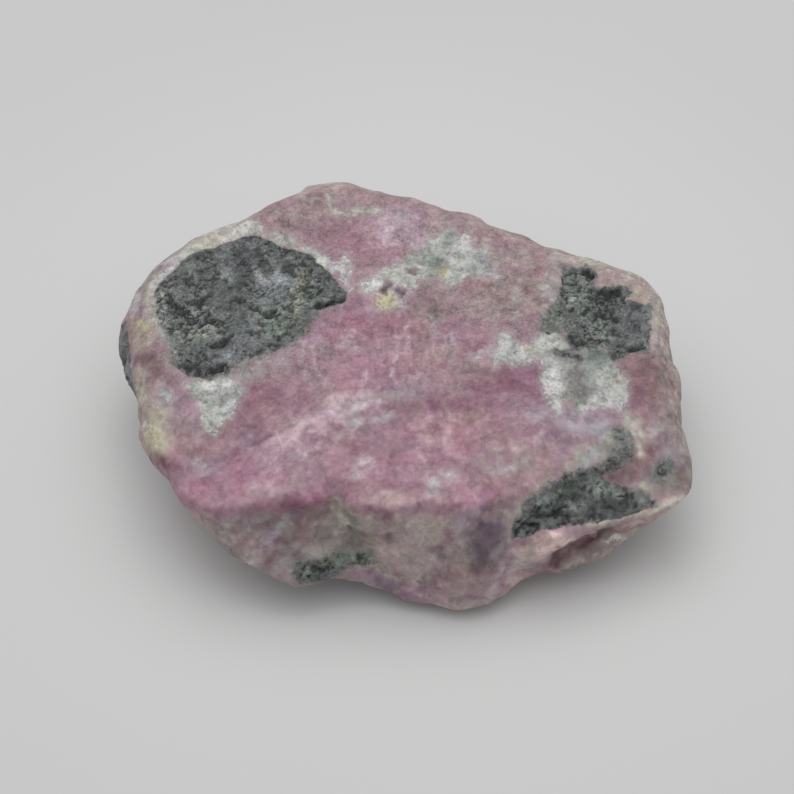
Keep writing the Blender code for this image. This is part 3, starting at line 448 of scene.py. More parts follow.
# How the markings lie, in mm unless it says otherwise
REACH = 3.0  # how far a marking goes into the stone along the view
FADE = 0.8  # mm of edge lost for each mm beyond that
HIDDEN = (2.0, 6.0)  # from the seen colours to the far sides' colours
OUTSIDE = -4.0  # counts as far outside every marking
EDGE_WANDER = 2.2  # pixels that edges wander by
EDGE_TEAR = 3.4  # pixels that broken edges are torn by
COLOUR_DRIFT = 6.5  # pixels that soft colours wander by
POD_EDGE = (-0.15, 0.25)
PALE_EDGE = (-0.15, 0.3)
PIT_EDGE = (-0.1, 0.3)
STEP_EDGE = (-0.12, 0.18)
CREVICE_EDGE = (-0.12, 0.15)
FRONT_EDGE = (-0.25, 0.35)
NOSE_FROM_TO = (330, 385)  # pixels, from the grey facet to the sandy nose
UPRIGHT_PLACE = (405, 345, 48, 50)  # pixels: u, v, and sizes of where the fibres stand upright
SHEEN_PLACE = (290, 445, 90, 62)  # and of where they have a silky sheen
PATCH_FALL = 1.5  # more makes a soft patch's edge harder
STROKE_FALL = 0.7
SEED_SHIFT = np.array([31.7, 17.3, 7.9])

# Relief: grain in mm, seed, rounds, height in mm
BROAD_RELIEF = (3.4, 11, 2, 0.10)
FINE_RELIEF = (0.9, 13, 2, 0.045)
CHALK_RELIEF = (1.1, 15, 2, 0.10)
CHALK_SUNK = 0.03  # mm that the pale veins lie low by
POD_SUNK = 0.04
MOAT_OUT, MOAT_WIDTH, MOAT_DEPTH = 0.05, 0.22, 0.07  # mm: the groove round a pod
LEAST_MICA = 0.02  # share of mica from which a point gets plates
PLATE_SIZE, PLATE_HEIGHT = 1.25, 0.20  # mm
FLAKE_SIZE, FLAKE_HEIGHT = 0.62, 0.15
SEAM_EDGE = (0.02, 0.16)  # of a plate's size, from its seam to its face
SEAM_DEPTH = 0.14  # mm
FLAKE_SHIFT = (3.1, 5.7, 9.2)
FLAKE_HASH = 7.31
FLAKE_TILT, FLAKE_STEP = 0.9, 0.6  # how much a plate leans, and stands up or down
EASE_ROUNDS = 14
FULL_RIDGE = 0.10  # mm that a full ridge stands out of the skin round it, for the painted light and shade of the relief
LEAST_FOOT = 0.03  # mm: anything lower belongs to the flat foot

# Material. Tones are changes of brightness, as shares of the base colour.
EVEN = (1.0, 1.0, 1.0)
DARKEST = (0.08, 0.08, 0.08)
PINK_LEAN = (1.0, 1.18, 1.08)  # how much more green and blue change with the tone than red
NOISE_SPAN = (0.37, 0.63)  # values that a noise mostly keeps within
SUGAR_SPAN = (0.38, 0.66)
SILK_TURN, UPRIGHT_TURN, PLATE_TURN = 41.0, 97.0, 25.0  # degrees
FIBRE, THREAD, PLATE_STRETCH = (3.0, 1.0, 1.3), (2.4, 1.0, 1.3), (1.5, 1.0, 1.0)
THREAD_WIDTH = 0.028
STONE_SPECULAR = 0.4

# Studio
FLOOR_HALF = 3.0  # m
FLOOR_DARK, FLOOR_LIGHT = (0.600, 0.603, 0.600), (0.612, 0.614, 0.612)
FLOOR_PAINTED_POOL = (0.665, 0.668, 0.665)  # painted pool of light: the paper is lighter round the stone
FLOOR_MIDDLE = (0.0, 7.0, 0.0)  # mm: the middle of the painted pool of light
FLOOR_PAINTED_POOL_SPAN = (24.0, 66.0)  # mm from that middle, from the full painted pool of light to none
FLOOR_SPECULAR = 0.2
FLOOR_ROUGHNESS = 0.75
SKY_COLOUR = (1.0, 1.0, 1.0, 1.0)
SKY_STRENGTH = 0.555
# name, place in m, side in m, power in W
LAMPS = [("softbox", (-0.06, 0.26, 0.95), 0.7, 1.8), ("ceiling", (0, 0.1, 1.1), 1.7, 5.05)]


def to_pixels(points):
    """Picture coordinates of points in mm."""
    away = points - EYE
    depth = away @ FORWARD
    across = CENTRE + PIXELS_PER_MM * DISTANCE * away[:, 0] / depth
    down = CENTRE - PIXELS_PER_MM * DISTANCE * (away @ UPWARD) / depth
    return np.stack([across, down], axis=1)


def smooth_step(value, low, high):
    t = np.clip((value - low) / (high - low), 0.0, 1.0)
    return t * t * (3.0 - 2.0 * t)


def field(points, size, seed, rounds=1):
    """Smooth noise of the given grain in mm, about -1 to 1, halved in size each round."""
    total = np.zeros(len(points))
    share = 1.0
    for step in range(rounds):
        rows = (points / size + SEED_SHIFT * (seed + step)).tolist()
        total += share * np.array([noise.noise(row) for row in rows])
        share *= 0.5
        size *= 0.5
    return total


def drift(points, size, seed, rounds):
    """Two noises side by side, to move pixels about by."""
    return np.stack([field(points, size, seed + k, rounds) for k in (0, 2)], axis=1)


def line_distance(pixels, first, second):
    run = np.array(second, float) - np.array(first, float)
    along = (pixels - first) @ run / max(run @ run, 1e-9)
    nearest = np.array(first, float) + np.clip(along, 0, 1)[:, None] * run
    return np.linalg.norm(pixels - nearest, axis=1)


def nearest_run(pixels, corners):
    """Distance in pixels to the nearest of the straight runs between the corners."""
    far = np.full(len(pixels), np.inf)
    for first, second in zip(corners, corners[1:]):
        far = np.minimum(far, line_distance(pixels, first, second))
    return far


def outline_depth(pixels, outline):
    """Distance in mm to a closed outline, positive inside it."""
    corners = outline + outline[:1]
    inside = np.zeros(len(pixels), bool)
    for (x1, y1), (x2, y2) in zip(corners, corners[1:]):
        if y1 == y2:
            continue
        crosses = (pixels[:, 1] >= min(y1, y2)) & (pixels[:, 1] < max(y1, y2))
        at = x1 + (pixels[:, 1] - y1) * (x2 - x1) / (y2 - y1)
        inside ^= crosses & (pixels[:, 0] < at)
    far = nearest_run(pixels, corners)
    return np.where(inside, far, -far) / PIXELS_PER_MM


def stroke_depth(pixels, corners, half_width):
    """Distance in mm inside a line of that half width in pixels."""
    return (half_width - nearest_run(pixels, corners)) / PIXELS_PER_MM


def lump_depth(points, centre, radii):
    scaled = np.linalg.norm((points - np.array(centre)) / np.array(radii), axis=1)
    return (1.0 - scaled) * min(radii)


def soft_patch(pixels, u, v, length, width, turn=0):
    """1 at the middle of a turned ellipse, falling smoothly to 0 round it."""
    c, s = math.cos(math.radians(turn)), math.sin(math.radians(turn))
    du, dv = pixels[:, 0] - u, pixels[:, 1] - v
    along, across = (du * c + dv * s) / length, (dv * c - du * s) / width
    return np.exp(-0.5 * (along ** 2 + across ** 2) ** PATCH_FALL)


def coverage(pixels, places):
    """The greatest share that any of the soft places gives to each point."""
    total = np.zeros(len(pixels))
    for *place, share in places:
        total = np.maximum(total, share * soft_patch(pixels, *place))
    return total


def bell(pixels, u, v, length, width):
    across, down = (pixels[:, 0] - u) / length, (pixels[:, 1] - v) / width
    return np.exp(-across ** 2 - down ** 2)


def plain(colour, count):
    return np.tile(np.array(colour), (count, 1))


def blend(base, colour, share):
    """The base colours, led to another colour by each point's share."""
    return base + (np.array(colour) - base) * share[:, None]


def tinted(base, pixels, patches, seen, broken):
    """Lays soft, broken patches of colour over a base colour, on what the view reaches."""
    for index, (*place, colour, strength) in enumerate(patches):
        share = strength * soft_patch(pixels, *place) * seen
        base = blend(base, colour, np.clip(share * broken[index % len(broken)], 0, 1))
    return base


def brushed(base, pixels, strokes, seen, broken):
    """Lays soft lines of colour over a base colour, on what the view reaches."""
    for index, (corners, half_width, colour, strength) in enumerate(strokes):
        off = half_width / PIXELS_PER_MM - stroke_depth(pixels, corners, half_width)
        off = off * PIXELS_PER_MM / half_width
        share = strength * np.exp(-STROKE_FALL * off ** 2) * seen * broken[index % len(broken)]
        base = blend(base, colour, np.clip(share, 0, 1))
    return base


def fine_mesh(node):
    """A dense even skin over the CAD solid, in mm, with the edges of its faces eased."""
    mesh = node.data.copy()
    mesh.materials.clear()
    bm = bmesh.new()
    bm.from_mesh(mesh)
    bmesh.ops.remove_doubles(bm, verts=bm.verts, dist=WELD)
    bmesh.ops.scale(bm, vec=(1 / MM,) * 3, verts=bm.verts)
    bm.to_mesh(mesh)
    bm.free()
    piece = bpy.data.objects.new(PIECE, mesh)
    bpy.context.scene.collection.objects.link(piece)
    remesh = piece.modifiers.new("skin", "REMESH")
    remesh.mode = "VOXEL"
    remesh.voxel_size = VOXEL
    ease = piece.modifiers.new("ease", "SMOOTH")
    ease.factor = SMOOTH_FACTOR
    ease.iterations = SMOOTH_ROUNDS
    graph = bpy.context.evaluated_depsgraph_get()
    dense = bpy.data.meshes.new_from_object(piece.evaluated_get(graph))
    piece.modifiers.clear()
    piece.data = dense
    piece.data.name = PIECE
    return piece


def rows_of(values, name, count):
    flat = np.empty(count * 3, np.float32)
    values.foreach_get(name, flat)
    return flat.reshape(-1, 3).astype(float)


def hidden_depth(mesh, points):
    """How far behind the first surface each point lies, along the view, in mm."""
    tree = BVHTree.FromPolygons([v.co for v in mesh.vertices], [p.vertices for p in mesh.polygons])
    eye = Vector(EYE)
    result = np.zeros(len(points))
    for index, row in enumerate(points.tolist()):
        ray = Vector(row) - eye
        length = ray.length
        hit = tree.ray_cast(eye, ray / length)
        if hit[0] is not None:
            result[index] = max(0.0, length - hit[3])
    return result


def marking(points, pixels, hidden, lost, outlines, strokes, lumps, ragged):
    """Distance in mm inside one kind of marking: drawn where the view reaches, lumps elsewhere."""
    marks = [(outline_depth(pixels, outline) - lost, most) for outline, most in outlines]
    marks += [(stroke_depth(pixels, line, half) - lost, most) for line, half, most in strokes]
    near_only = np.maximum(0.0, REACH - hidden)
    marks += [(lump_depth(points, centre, radii) + ragged - near_only, most)
              for centre, radii, most in lumps]
    total = np.full(len(points), OUTSIDE)
    for depth, most in marks:
        total = np.maximum(total, np.minimum(depth, most))
    return total


def sunk(depths, edge):
    """How far the skin sinks at the marks, in mm."""
    total = 0.0
    for depth, deep in depths:
        total = np.maximum(total, deep * smooth_step(depth, *edge))
    return total


def flake_relief(points, size, seed):
    """Small tilted plates: height in units of the plate's size, and closeness to an edge."""
    height = np.zeros(len(points))
    edge = np.zeros(len(points))
    shift = Vector(FLAKE_SHIFT) * seed
    for index, row in enumerate((points / size).tolist()):
        place = Vector(row) + shift
        distances, centres = noise.voronoi(place)
        lean = noise.cell_vector(centres[0] * FLAKE_HASH) - Vector((0.5, 0.5, 0.5))
        height[index] = FLAKE_TILT * (place - centres[0]).dot(lean) + FLAKE_STEP * lean.x
        edge[index] = distances[1] - distances[0]
    return height, edge


def ridges(mesh, points, outward):
    """How far each point stands out of the skin round it, in mm: above 0 on a ridge."""
    ends = np.empty(len(mesh.edges) * 2, np.int32)
    mesh.edges.foreach_get("vertices", ends)
    first, second = ends.reshape(-1, 2).T
    count = np.bincount(ends, minlength=len(points))[:, None]
    eased = points
    for _ in range(EASE_ROUNDS):
        total = np.stack([
            np.bincount(first, eased[second, k], len(points)) +
            np.bincount(second, eased[first, k], len(points)) for k in range(3)], axis=1)
        eased = 0.5 * eased + 0.5 * total / count
    return ((points - eased) * outward).sum(axis=1)


def motley(points, share, colour):
    """Breaks the colour up with blotches of the matrix's colours, by the given share."""
    for index, (blotch, grain) in enumerate(MOTLEY):
        spots = smooth_step(field(points, grain, seed=71 + 5 * index, rounds=3), *MOTLEY_EDGE)
        colour = blend(colour, blotch, spots * share)
    return colour


def store(mesh, kind, **layers):
    """Keeps named numbers, or linear colours, on the mesh's points for the material."""
    for name, values in layers.items():
        layer = mesh.attributes.new(name, kind, "POINT")
        if kind == "FLOAT":
            layer.data.foreach_set("value", values.astype(np.float32))
        else:
            full = np.ones((len(values), 4), np.float32)
            full[:, :3] = np.clip(values, 0, 1)
            layer.data.foreach_set("color", full.ravel())


class Skin:
    """The stone's points, with where the view and each marking have them."""

    def __init__(self, mesh):
        count = len(mesh.vertices)
        self.mesh = mesh
        self.points = points = rows_of(mesh.vertices, "co", count)
        self.outward = rows_of(mesh.vertex_normals, "vector", count)
        self.pixels = to_pixels(points)
        hidden = hidden_depth(mesh, points)
        self.seen = 1.0 - smooth_step(hidden, *HIDDEN)
        self.wander = drift(points, size=1.6, seed=3, rounds=2)
        self.tear = drift(points, size=0.7, seed=7, rounds=2)
        self.edges = self.pixels + EDGE_WANDER * self.wander
        torn = self.edges + EDGE_TEAR * self.tear
        lost = np.maximum(0.0, hidden - REACH) * FADE
        self.pod = marking(points, self.edges, hidden, lost, PODS, POD_STROKES, FAR_PODS,
                           0.5 * field(points, size=2.5, seed=90))
        pale = marking(points, self.edges, hidden, lost, PALES, PALE_STROKES, FAR_PALES,
                       0.6 * field(points, size=1.8, seed=95))
        pits = [(stroke_depth(torn, line, half) - lost, deep) for line, half, deep in PITS]
        for depth, _ in pits:
            pale = np.minimum(pale, -depth)
        self.pale = pale
        self.pit = sunk(pits, PIT_EDGE)
        self.step = sunk([(outline_depth(self.edges, outline) - lost, deep)
                          for outline, deep in STEPS], STEP_EDGE)
        self.crack = sunk([(stroke_depth(torn, line, half) - lost, deep)
                           for line, half, deep in CREVICES], CREVICE_EDGE)
        self.in_pod = smooth_step(self.pod, *POD_EDGE)
        self.in_pale = smooth_step(self.pale, *PALE_EDGE) * (1 - self.in_pod)
        smooth_plates = [(*place, share) for *place, colour, share in POD_TINTS if colour == STEEL]
        self.calm = coverage(self.edges, smooth_plates)

    def noise(self, size, seed, rounds=1, height=1.0):
        return height * field(self.points, size, seed, rounds)

    def mica_flakes(self):
        """Height of the mica plates in mm, and how much of a seam each point is."""
        chosen = np.nonzero(self.in_pod > LEAST_MICA)[0]
        near = self.points[chosen]
        plate, gap = flake_relief(near, PLATE_SIZE, 1)
        small, _ = flake_relief(near, FLAKE_SIZE, 2)
        flakes = np.zeros(len(self.points))
        seam = np.zeros(len(self.points))
        flakes[chosen] = PLATE_HEIGHT * plate + FLAKE_HEIGHT * small
        split = smooth_step(field(near, size=1.6, seed=19, rounds=2), -0.10, 0.25)
        seam[chosen] = (1 - smooth_step(gap, *SEAM_EDGE)) * split
        flakes[chosen] -= SEAM_DEPTH * seam[chosen]
        return flakes * (1 - 0.7 * self.calm * self.seen), seam

    def shape(self):
        """Moves the points by the fine relief, but for the flat foot."""
        self.flakes, self.seam = self.mica_flakes()
        relief = self.noise(*BROAD_RELIEF) + self.noise(*FINE_RELIEF)
        relief += self.in_pale * (self.noise(*CHALK_RELIEF) - CHALK_SUNK)
        relief += self.in_pod * (self.flakes - POD_SUNK)
        around = np.exp(-((self.pod + MOAT_OUT) / MOAT_WIDTH) ** 2)
        around = around * smooth_step(self.noise(size=2.0, seed=17), -0.25, 0.25)
        relief -= MOAT_DEPTH * around
        relief -= self.pit + self.crack * np.clip(0.4 + self.in_pod, 0, 1) + self.step
        shaped = self.points + self.outward * relief[:, None]
        foot = self.points[:, 2] < LEAST_FOOT
        shaped[foot] = self.points[foot]
        shaped[:, 2] = np.maximum(shaped[:, 2], 0.0)
        self.mesh.vertices.foreach_set("co", (shaped * MM).astype(np.float32).ravel())
        # painted light and shade of the fine relief: the material lightens points that stand out
        # and darkens points that lie low
        ridge = np.clip(ridges(self.mesh, shaped, self.outward) / FULL_RIDGE, -1, 1)
        store(self.mesh, "FLOAT", ridge=ridge)

    def far_ground(self, count):
        """The colour of the pink stone on the sides that the view doesn't reach."""
        far = plain(FAR_COLOURS[0], count)
        for index, colour in enumerate(FAR_COLOURS[1:]):
            cloud = self.noise(size=4.5, seed=27 + 4 * index, rounds=3)
            far = blend(far, colour, smooth_step(cloud, 0.0, 0.35) * 0.8)
        return motley(self.points, FAR_MOTLEY * np.ones(count), far)

    def colour(self):
        """Lays the colours of the three kinds of stone: the pink ground, the veins and the mica."""
        points, pixels, seen, count = self.points, self.pixels, self.seen, len(self.points)
        slow = drift(points, size=2.4, seed=21, rounds=3)
        loose = pixels + COLOUR_DRIFT * slow
        stroked = pixels + 2.0 * self.wander
        everywhere = np.ones(count)
        # four patterns that the soft patches and lines are broken up by in turn
        patterns = [self.noise(size=1.5, seed=61 + 7 * k, rounds=3) for k in range(4)]
        broken = [0.45 + 0.75 * smooth_step(pattern, -0.45, 0.35) for pattern in patterns]

        nose_side = smooth_step(pixels[:, 0] + 3.0 * slow[:, 0], *NOSE_FROM_TO)
        front = blend(plain(FACET, count), SAND, nose_side)
        on_front = smooth_step(outline_depth(self.edges, FRONT_FACE), *FRONT_EDGE)
        near = blend(plain(ROSE, count), front, on_front)
        near = tinted(near, loose, GROUND_TINTS, everywhere, broken)
        near = motley(points, coverage(loose, MOTLEY_PLACES), near)
        near = brushed(near, stroked + 2.4 * self.tear, GROUND_STROKES, everywhere, broken)
        ground = blend(self.far_ground(count), near, seen)
        ground = blend(ground, PLUM, 0.85 * np.clip(self.pit / 0.3, 0, 1))

        chance = self.noise(size=5.0, seed=25, rounds=3)
        vein = blend(plain(CELADON, count), PEARL, smooth_step(chance, -0.2, 0.3))
        vein = tinted(vein, stroked, PALE_TINTS, seen, [everywhere])
        dark = tinted(plain(SLATE, count), pixels + 3.0 * self.wander, POD_TINTS, seen,
                      [everywhere])
        dark = brushed(dark, stroked, POD_TINT_STROKES, seen, broken)
        store(self.mesh, "FLOAT_COLOR", ground=ground, vein=vein, dark=dark)

    def shares(self):
        """The numbers that tell the material how each point's grain looks, and where it paints
        shade in hollows.
        """
        seen, unseen, in_pod = self.seen, 1 - self.seen, self.in_pod
        # painted shade in the hollows: crevices, the low sides of mica plates, their seams and deep
        # steps
        hollow = np.clip(self.crack / 0.4, 0, 1) + smooth_step(-self.flakes, 0.09, 0.20) * in_pod
        hollow = hollow + self.seam * 0.7 + 0.35 * smooth_step(self.step, 0.16, 0.26)
        # where mica crumbles: a little anywhere, more where it is drawn so, never on smooth plates
        crumbly = 0.35 * smooth_step(self.noise(size=2.2, seed=33, rounds=2), -0.30, 0.30)
        crumbly = np.maximum(crumbly, coverage(self.edges, CRUMBLING) * seen)
        crumbly = np.maximum(crumbly, 0.8 * unseen) - 0.8 * self.calm * seen
        in_ground = 1 - np.maximum(in_pod, self.in_pale)
        # fibres stand upright in the middle, and lie with a silky sheen in front of it
        upright = bell(self.pixels, *UPRIGHT_PLACE) * seen
        sheen = bell(self.pixels, *SHEEN_PLACE)
        # the near part of the top face is smoother than the far part, in pixels down the picture
        front = smooth_step(self.pixels[:, 1], 320, 450)
        grainy = np.clip(1 - 0.75 * front - 0.4 * upright, 0.2, 1) * seen + 0.8 * unseen
        melting = coverage(self.pixels, MELTING) * seen + 0.5 * unseen
        store(self.mesh, "FLOAT", pod=self.pod, pale=self.pale, melting=melting, grainy=grainy,
              hollow=np.clip(hollow, 0, 1), crumbly=np.clip(crumbly, 0, 1),
              upright=upright * in_ground,
              silk=(1 - upright) * (0.12 + 0.88 * sheen) * seen * in_ground)


class Nodes:
    """Short ways of adding shader nodes to one material. Places, and the sizes that come right
    after them, are in mm. The last number of each part of a tone is how far it goes."""

    def __init__(self, name, specular):
        self.material = bpy.data.materials.new(name)
        self.material.use_nodes = True
        self.tree = self.material.node_tree
        self.shader = self.tree.nodes["Principled BSDF"]
        self.shader.inputs["Specular IOR Level"].default_value = specular
        self.place = self.scaled(self.add("ShaderNodeTexCoord").outputs["Object"], 1 / MM)

    def add(self, kind, inputs=(), **settings):
        made = self.tree.nodes.new(kind)
        for name, value in settings.items():
            setattr(made, name, value)
        for key, value in dict(inputs).items():
            self.feed(made.inputs[key], value)
        return made

    def feed(self, socket, value):
        if isinstance(value, bpy.types.NodeSocket):
            self.tree.links.new(value, socket)
        elif isinstance(value, tuple) and len(value) == 3 and socket.type == "RGBA":
            socket.default_value = (*value, 1.0)
        else:
            socket.default_value = value

    def stored(self, name, output="Fac"):
        return self.add("ShaderNodeAttribute", attribute_name=name).outputs[output]

    def math(self, operation, *values):
        return self.add("ShaderNodeMath", dict(enumerate(values)), operation=operation).outputs[0]

    def vector(self, operation, *values, output=0):
        made = self.add("ShaderNodeVectorMath", dict(enumerate(values)), operation=operation)
        return made.outputs[output]

    def total(self, *values):
        return functools.reduce(lambda a, b: self.math("ADD", a, b), values)

    def product(self, *values):
        return functools.reduce(lambda a, b: self.math("MULTIPLY", a, b), values)

    def scaled(self, vector, factor):
        given = {0: vector, "Scale": factor}
        return self.add("ShaderNodeVectorMath", given, operation="SCALE").outputs[0]

    def centred(self, vector):
        return self.vector("SUBTRACT", vector, (0.5, 0.5, 0.5))

    def moved(self, vector, *by):
        return self.vector("ADD", vector, by)

    def turned(self, place, angle, stretch):
        """Coordinates drawn out by the stretch along the turned axes."""
        given = {"Vector": place, "Rotation": (0.0, 0.0, math.radians(angle)), "Scale": stretch}
        return self.add("ShaderNodeMapping", given, vector_type="TEXTURE").outputs[0]

    def between(self, value, low, high, to_low=0.0, to_high=1.0):
        keys = ("Value", "From Min", "From Max", "To Min", "To Max")
        given = dict(zip(keys, (value, low, high, to_low, to_high)))
        return self.add("ShaderNodeMapRange", given, interpolation_type="SMOOTHSTEP").outputs[0]

    def spread(self, value, low, high):
        """An even random value from 0 to 1, led to between two others."""
        return self.between(value, 0.0, 1.0, low, high)

    def swing(self, value, amount=1.0):
        """A noise as a change about 0, up to the amount either way, with soft flat ends."""
        return self.between(value, *NOISE_SPAN, -amount, amount)

    def mix(self, factor, first, second, blend="MIX"):
        given = {0: factor, 6: first, 7: second}
        made = self.add("ShaderNodeMix", given, data_type="RGBA", blend_type=blend)
        return made.outputs[2]

    def darker(self, colour, by):
        return self.mix(1.0, colour, by, "MULTIPLY")

    def grain(self, place, size, detail=2.0, roughness=0.5):
        return self.add("ShaderNodeTexNoise", {
            "Vector": place, "Scale": 1.0 / size, "Detail": detail,
            "Roughness": roughness, "Distortion": 0.0}).outputs

    def fac(self, *given):
        return self.grain(*given)["Fac"]

    def tones(self, cell):
        """Three values that don't depend on each other, from a noise or from cells."""
        return self.add("ShaderNodeSeparateColor", {"Color": cell["Color"]}).outputs

    def cells(self, place, size):
        given = {"Vector": place, "Scale": 1.0 / size}
        return self.add("ShaderNodeTexVoronoi", given).outputs

    def thread(self, value, width):
        """1 along the winding lines where a noise crosses its middle, 0 away from them."""
        off = self.math("ABSOLUTE", self.math("SUBTRACT", value, 0.5))
        return self.between(off, 0.0, width, 1.0, 0.0)

    def lit(self, base, tone, hue, lean=EVEN):
        """The base colour made lighter or darker by the tone, and led along the hues given."""
        change = self.vector("ADD", self.scaled(lean, tone), EVEN)
        for value, way in hue:
            change = self.vector("ADD", change, self.scaled(way, self.swing(value)))
        change = self.vector("MAXIMUM", change, DARKEST)
        return self.mix(1.0, base, change, "MULTIPLY")


def ground_colour(n, bent, sugar):
    """Pink silky stone: warm and cool clouds, crystal domains, soft grains, fibres and threads."""
    cloud = n.tones(n.grain(bent, 2.6, 1.0))
    blob = n.tones(n.grain(n.moved(bent, 7.0, 3.0, 5.0), 1.1, 1.0))
    small = n.tones(n.grain(n.moved(bent, 2.0, 9.0, 4.0), 0.5, 1.0))
    domain = n.tones(n.cells(bent, 1.4))
    fibre = n.fac(n.turned(bent, SILK_TURN, FIBRE), 0.62)
    post = n.fac(n.turned(bent, UPRIGHT_TURN, FIBRE), 0.55)
    pebble = n.cells(n.moved(bent, 3.0, 3.0, 9.0), 0.85)["Distance"]
    winding = n.thread(n.fac(n.turned(bent, UPRIGHT_TURN, THREAD), 0.9, 1.0), THREAD_WIDTH)
    where = n.between(n.fac(n.place, 1.3, 1.0), 0.46, 0.58, 0.0, 0.17)
    dots = n.fac(n.moved(n.place, 4.0, 6.0, 8.0), 0.28, 1.0)
    grit = n.tones(n.cells(n.place, 0.18))
    grains = n.total(n.swing(dots, 0.08), n.spread(grit[0], -0.07, 0.07),
                     n.between(sugar, *SUGAR_SPAN, -0.07, 0.12))
    tone = n.total(
        n.swing(cloud[0], 0.08), n.swing(blob[0], 0.085), n.swing(small[0], 0.06),
        n.spread(domain[0], -0.07, 0.07),
        n.product(n.swing(fibre, 0.09), n.stored("silk")),
        n.product(n.swing(post, 0.13), n.stored("upright")),
        n.between(pebble, 0.12, 0.62, 0.07, -0.09),
        n.product(winding, where),
        n.product(grains, n.stored("grainy")),
        # painted light on ridges and shade in dips of the relief
        n.product(n.stored("ridge"), 0.15))
    hue = [(cloud[1], (0.015, -0.03, 0.0)), (cloud[2], (0.015, 0.0, -0.02)),
           (blob[1], (0.01, -0.02, 0.0))]
    pink = n.lit(n.stored("ground", "Color"), tone, hue, PINK_LEAN)
    # painted shade in the hollows: the pink is darkened in crevices, on the low sides of mica
    # plates and in deep steps
    return n.mix(n.product(n.stored("hollow"), 0.85), pink, n.darker(pink, (0.36, 0.26, 0.28)))


def vein_colour(n, bent, sugar):
    """Chalky pale matrix: white knots, grey green hollows and dark specks."""
    knot = n.tones(n.grain(bent, 1.0, 3.0, 0.6))
    small = n.tones(n.grain(n.moved(bent, 2.0, 8.0, 3.0), 0.40))
    grit = n.tones(n.cells(n.place, 0.20))
    tone = n.total(
        n.swing(knot[0], 0.20), n.swing(small[0], 0.12), n.spread(grit[1], -0.10, 0.08),
        # painted light on ridges and shade in dips of the relief
        n.between(sugar, *SUGAR_SPAN, -0.10, 0.08), n.product(n.stored("ridge"), 0.20))
    hue = [(knot[1], (-0.025, 0.012, -0.01)), (knot[2], (0.02, -0.02, 0.03))]
    vein = n.lit(n.stored("vein", "Color"), tone, hue)
    # painted shade in the hollows of the vein
    return n.mix(n.product(n.stored("hollow"), 0.8), vein, n.darker(vein, (0.32, 0.30, 0.30)))


def mica_colour(n, bent, plate, speck, sugar):
    """Dark mica: smooth bluish plates, light flecks, and crumbling parts with black gaps."""
    slab = n.tones(n.grain(n.moved(bent, 1.0, 2.0, 3.0), 1.8))
    lump = n.tones(n.grain(n.moved(bent, 6.0, 4.0, 1.0), 0.7, 3.0, 0.6))
    crumb = n.fac(n.moved(bent, 9.0, 1.0, 5.0), 0.42, 2.0, 0.55)
    flecks = n.total(n.between(speck, 0.72, 1.0, 0.0, 0.60),
                     n.between(sugar, 0.36, 0.68, -0.36, 0.46))
    tone = n.total(
        n.swing(slab[0], 0.28), n.swing(lump[0], 0.24), n.spread(plate, -0.16, 0.16),
        n.product(flecks, n.between(n.stored("grainy"), 0.2, 0.9, 0.25, 1.0)),
        n.product(n.between(crumb, 0.50, 0.38, 0.0, -0.95), n.stored("crumbly")),
        n.product(n.between(crumb, 0.54, 0.66, 0.0, 0.60), n.stored("crumbly")),
        # painted light on ridges and shade in dips of the relief
        n.product(n.stored("ridge"), 0.30))
    hue = [(slab[1], (-0.03, 0.02, -0.02)), (slab[2], (0.0, 0.0, 0.03)),
           (lump[1], (-0.02, 0.02, -0.01))]
    mica = n.lit(n.stored("dark", "Color"), tone, hue)
    # painted shade in the hollows of the mica: near black in crevices, seams and on the low sides
    # of plates
    return n.mix(n.product(n.stored("hollow"), 0.92), mica, n.darker(SOOT, (0.35, 0.37, 0.37)))


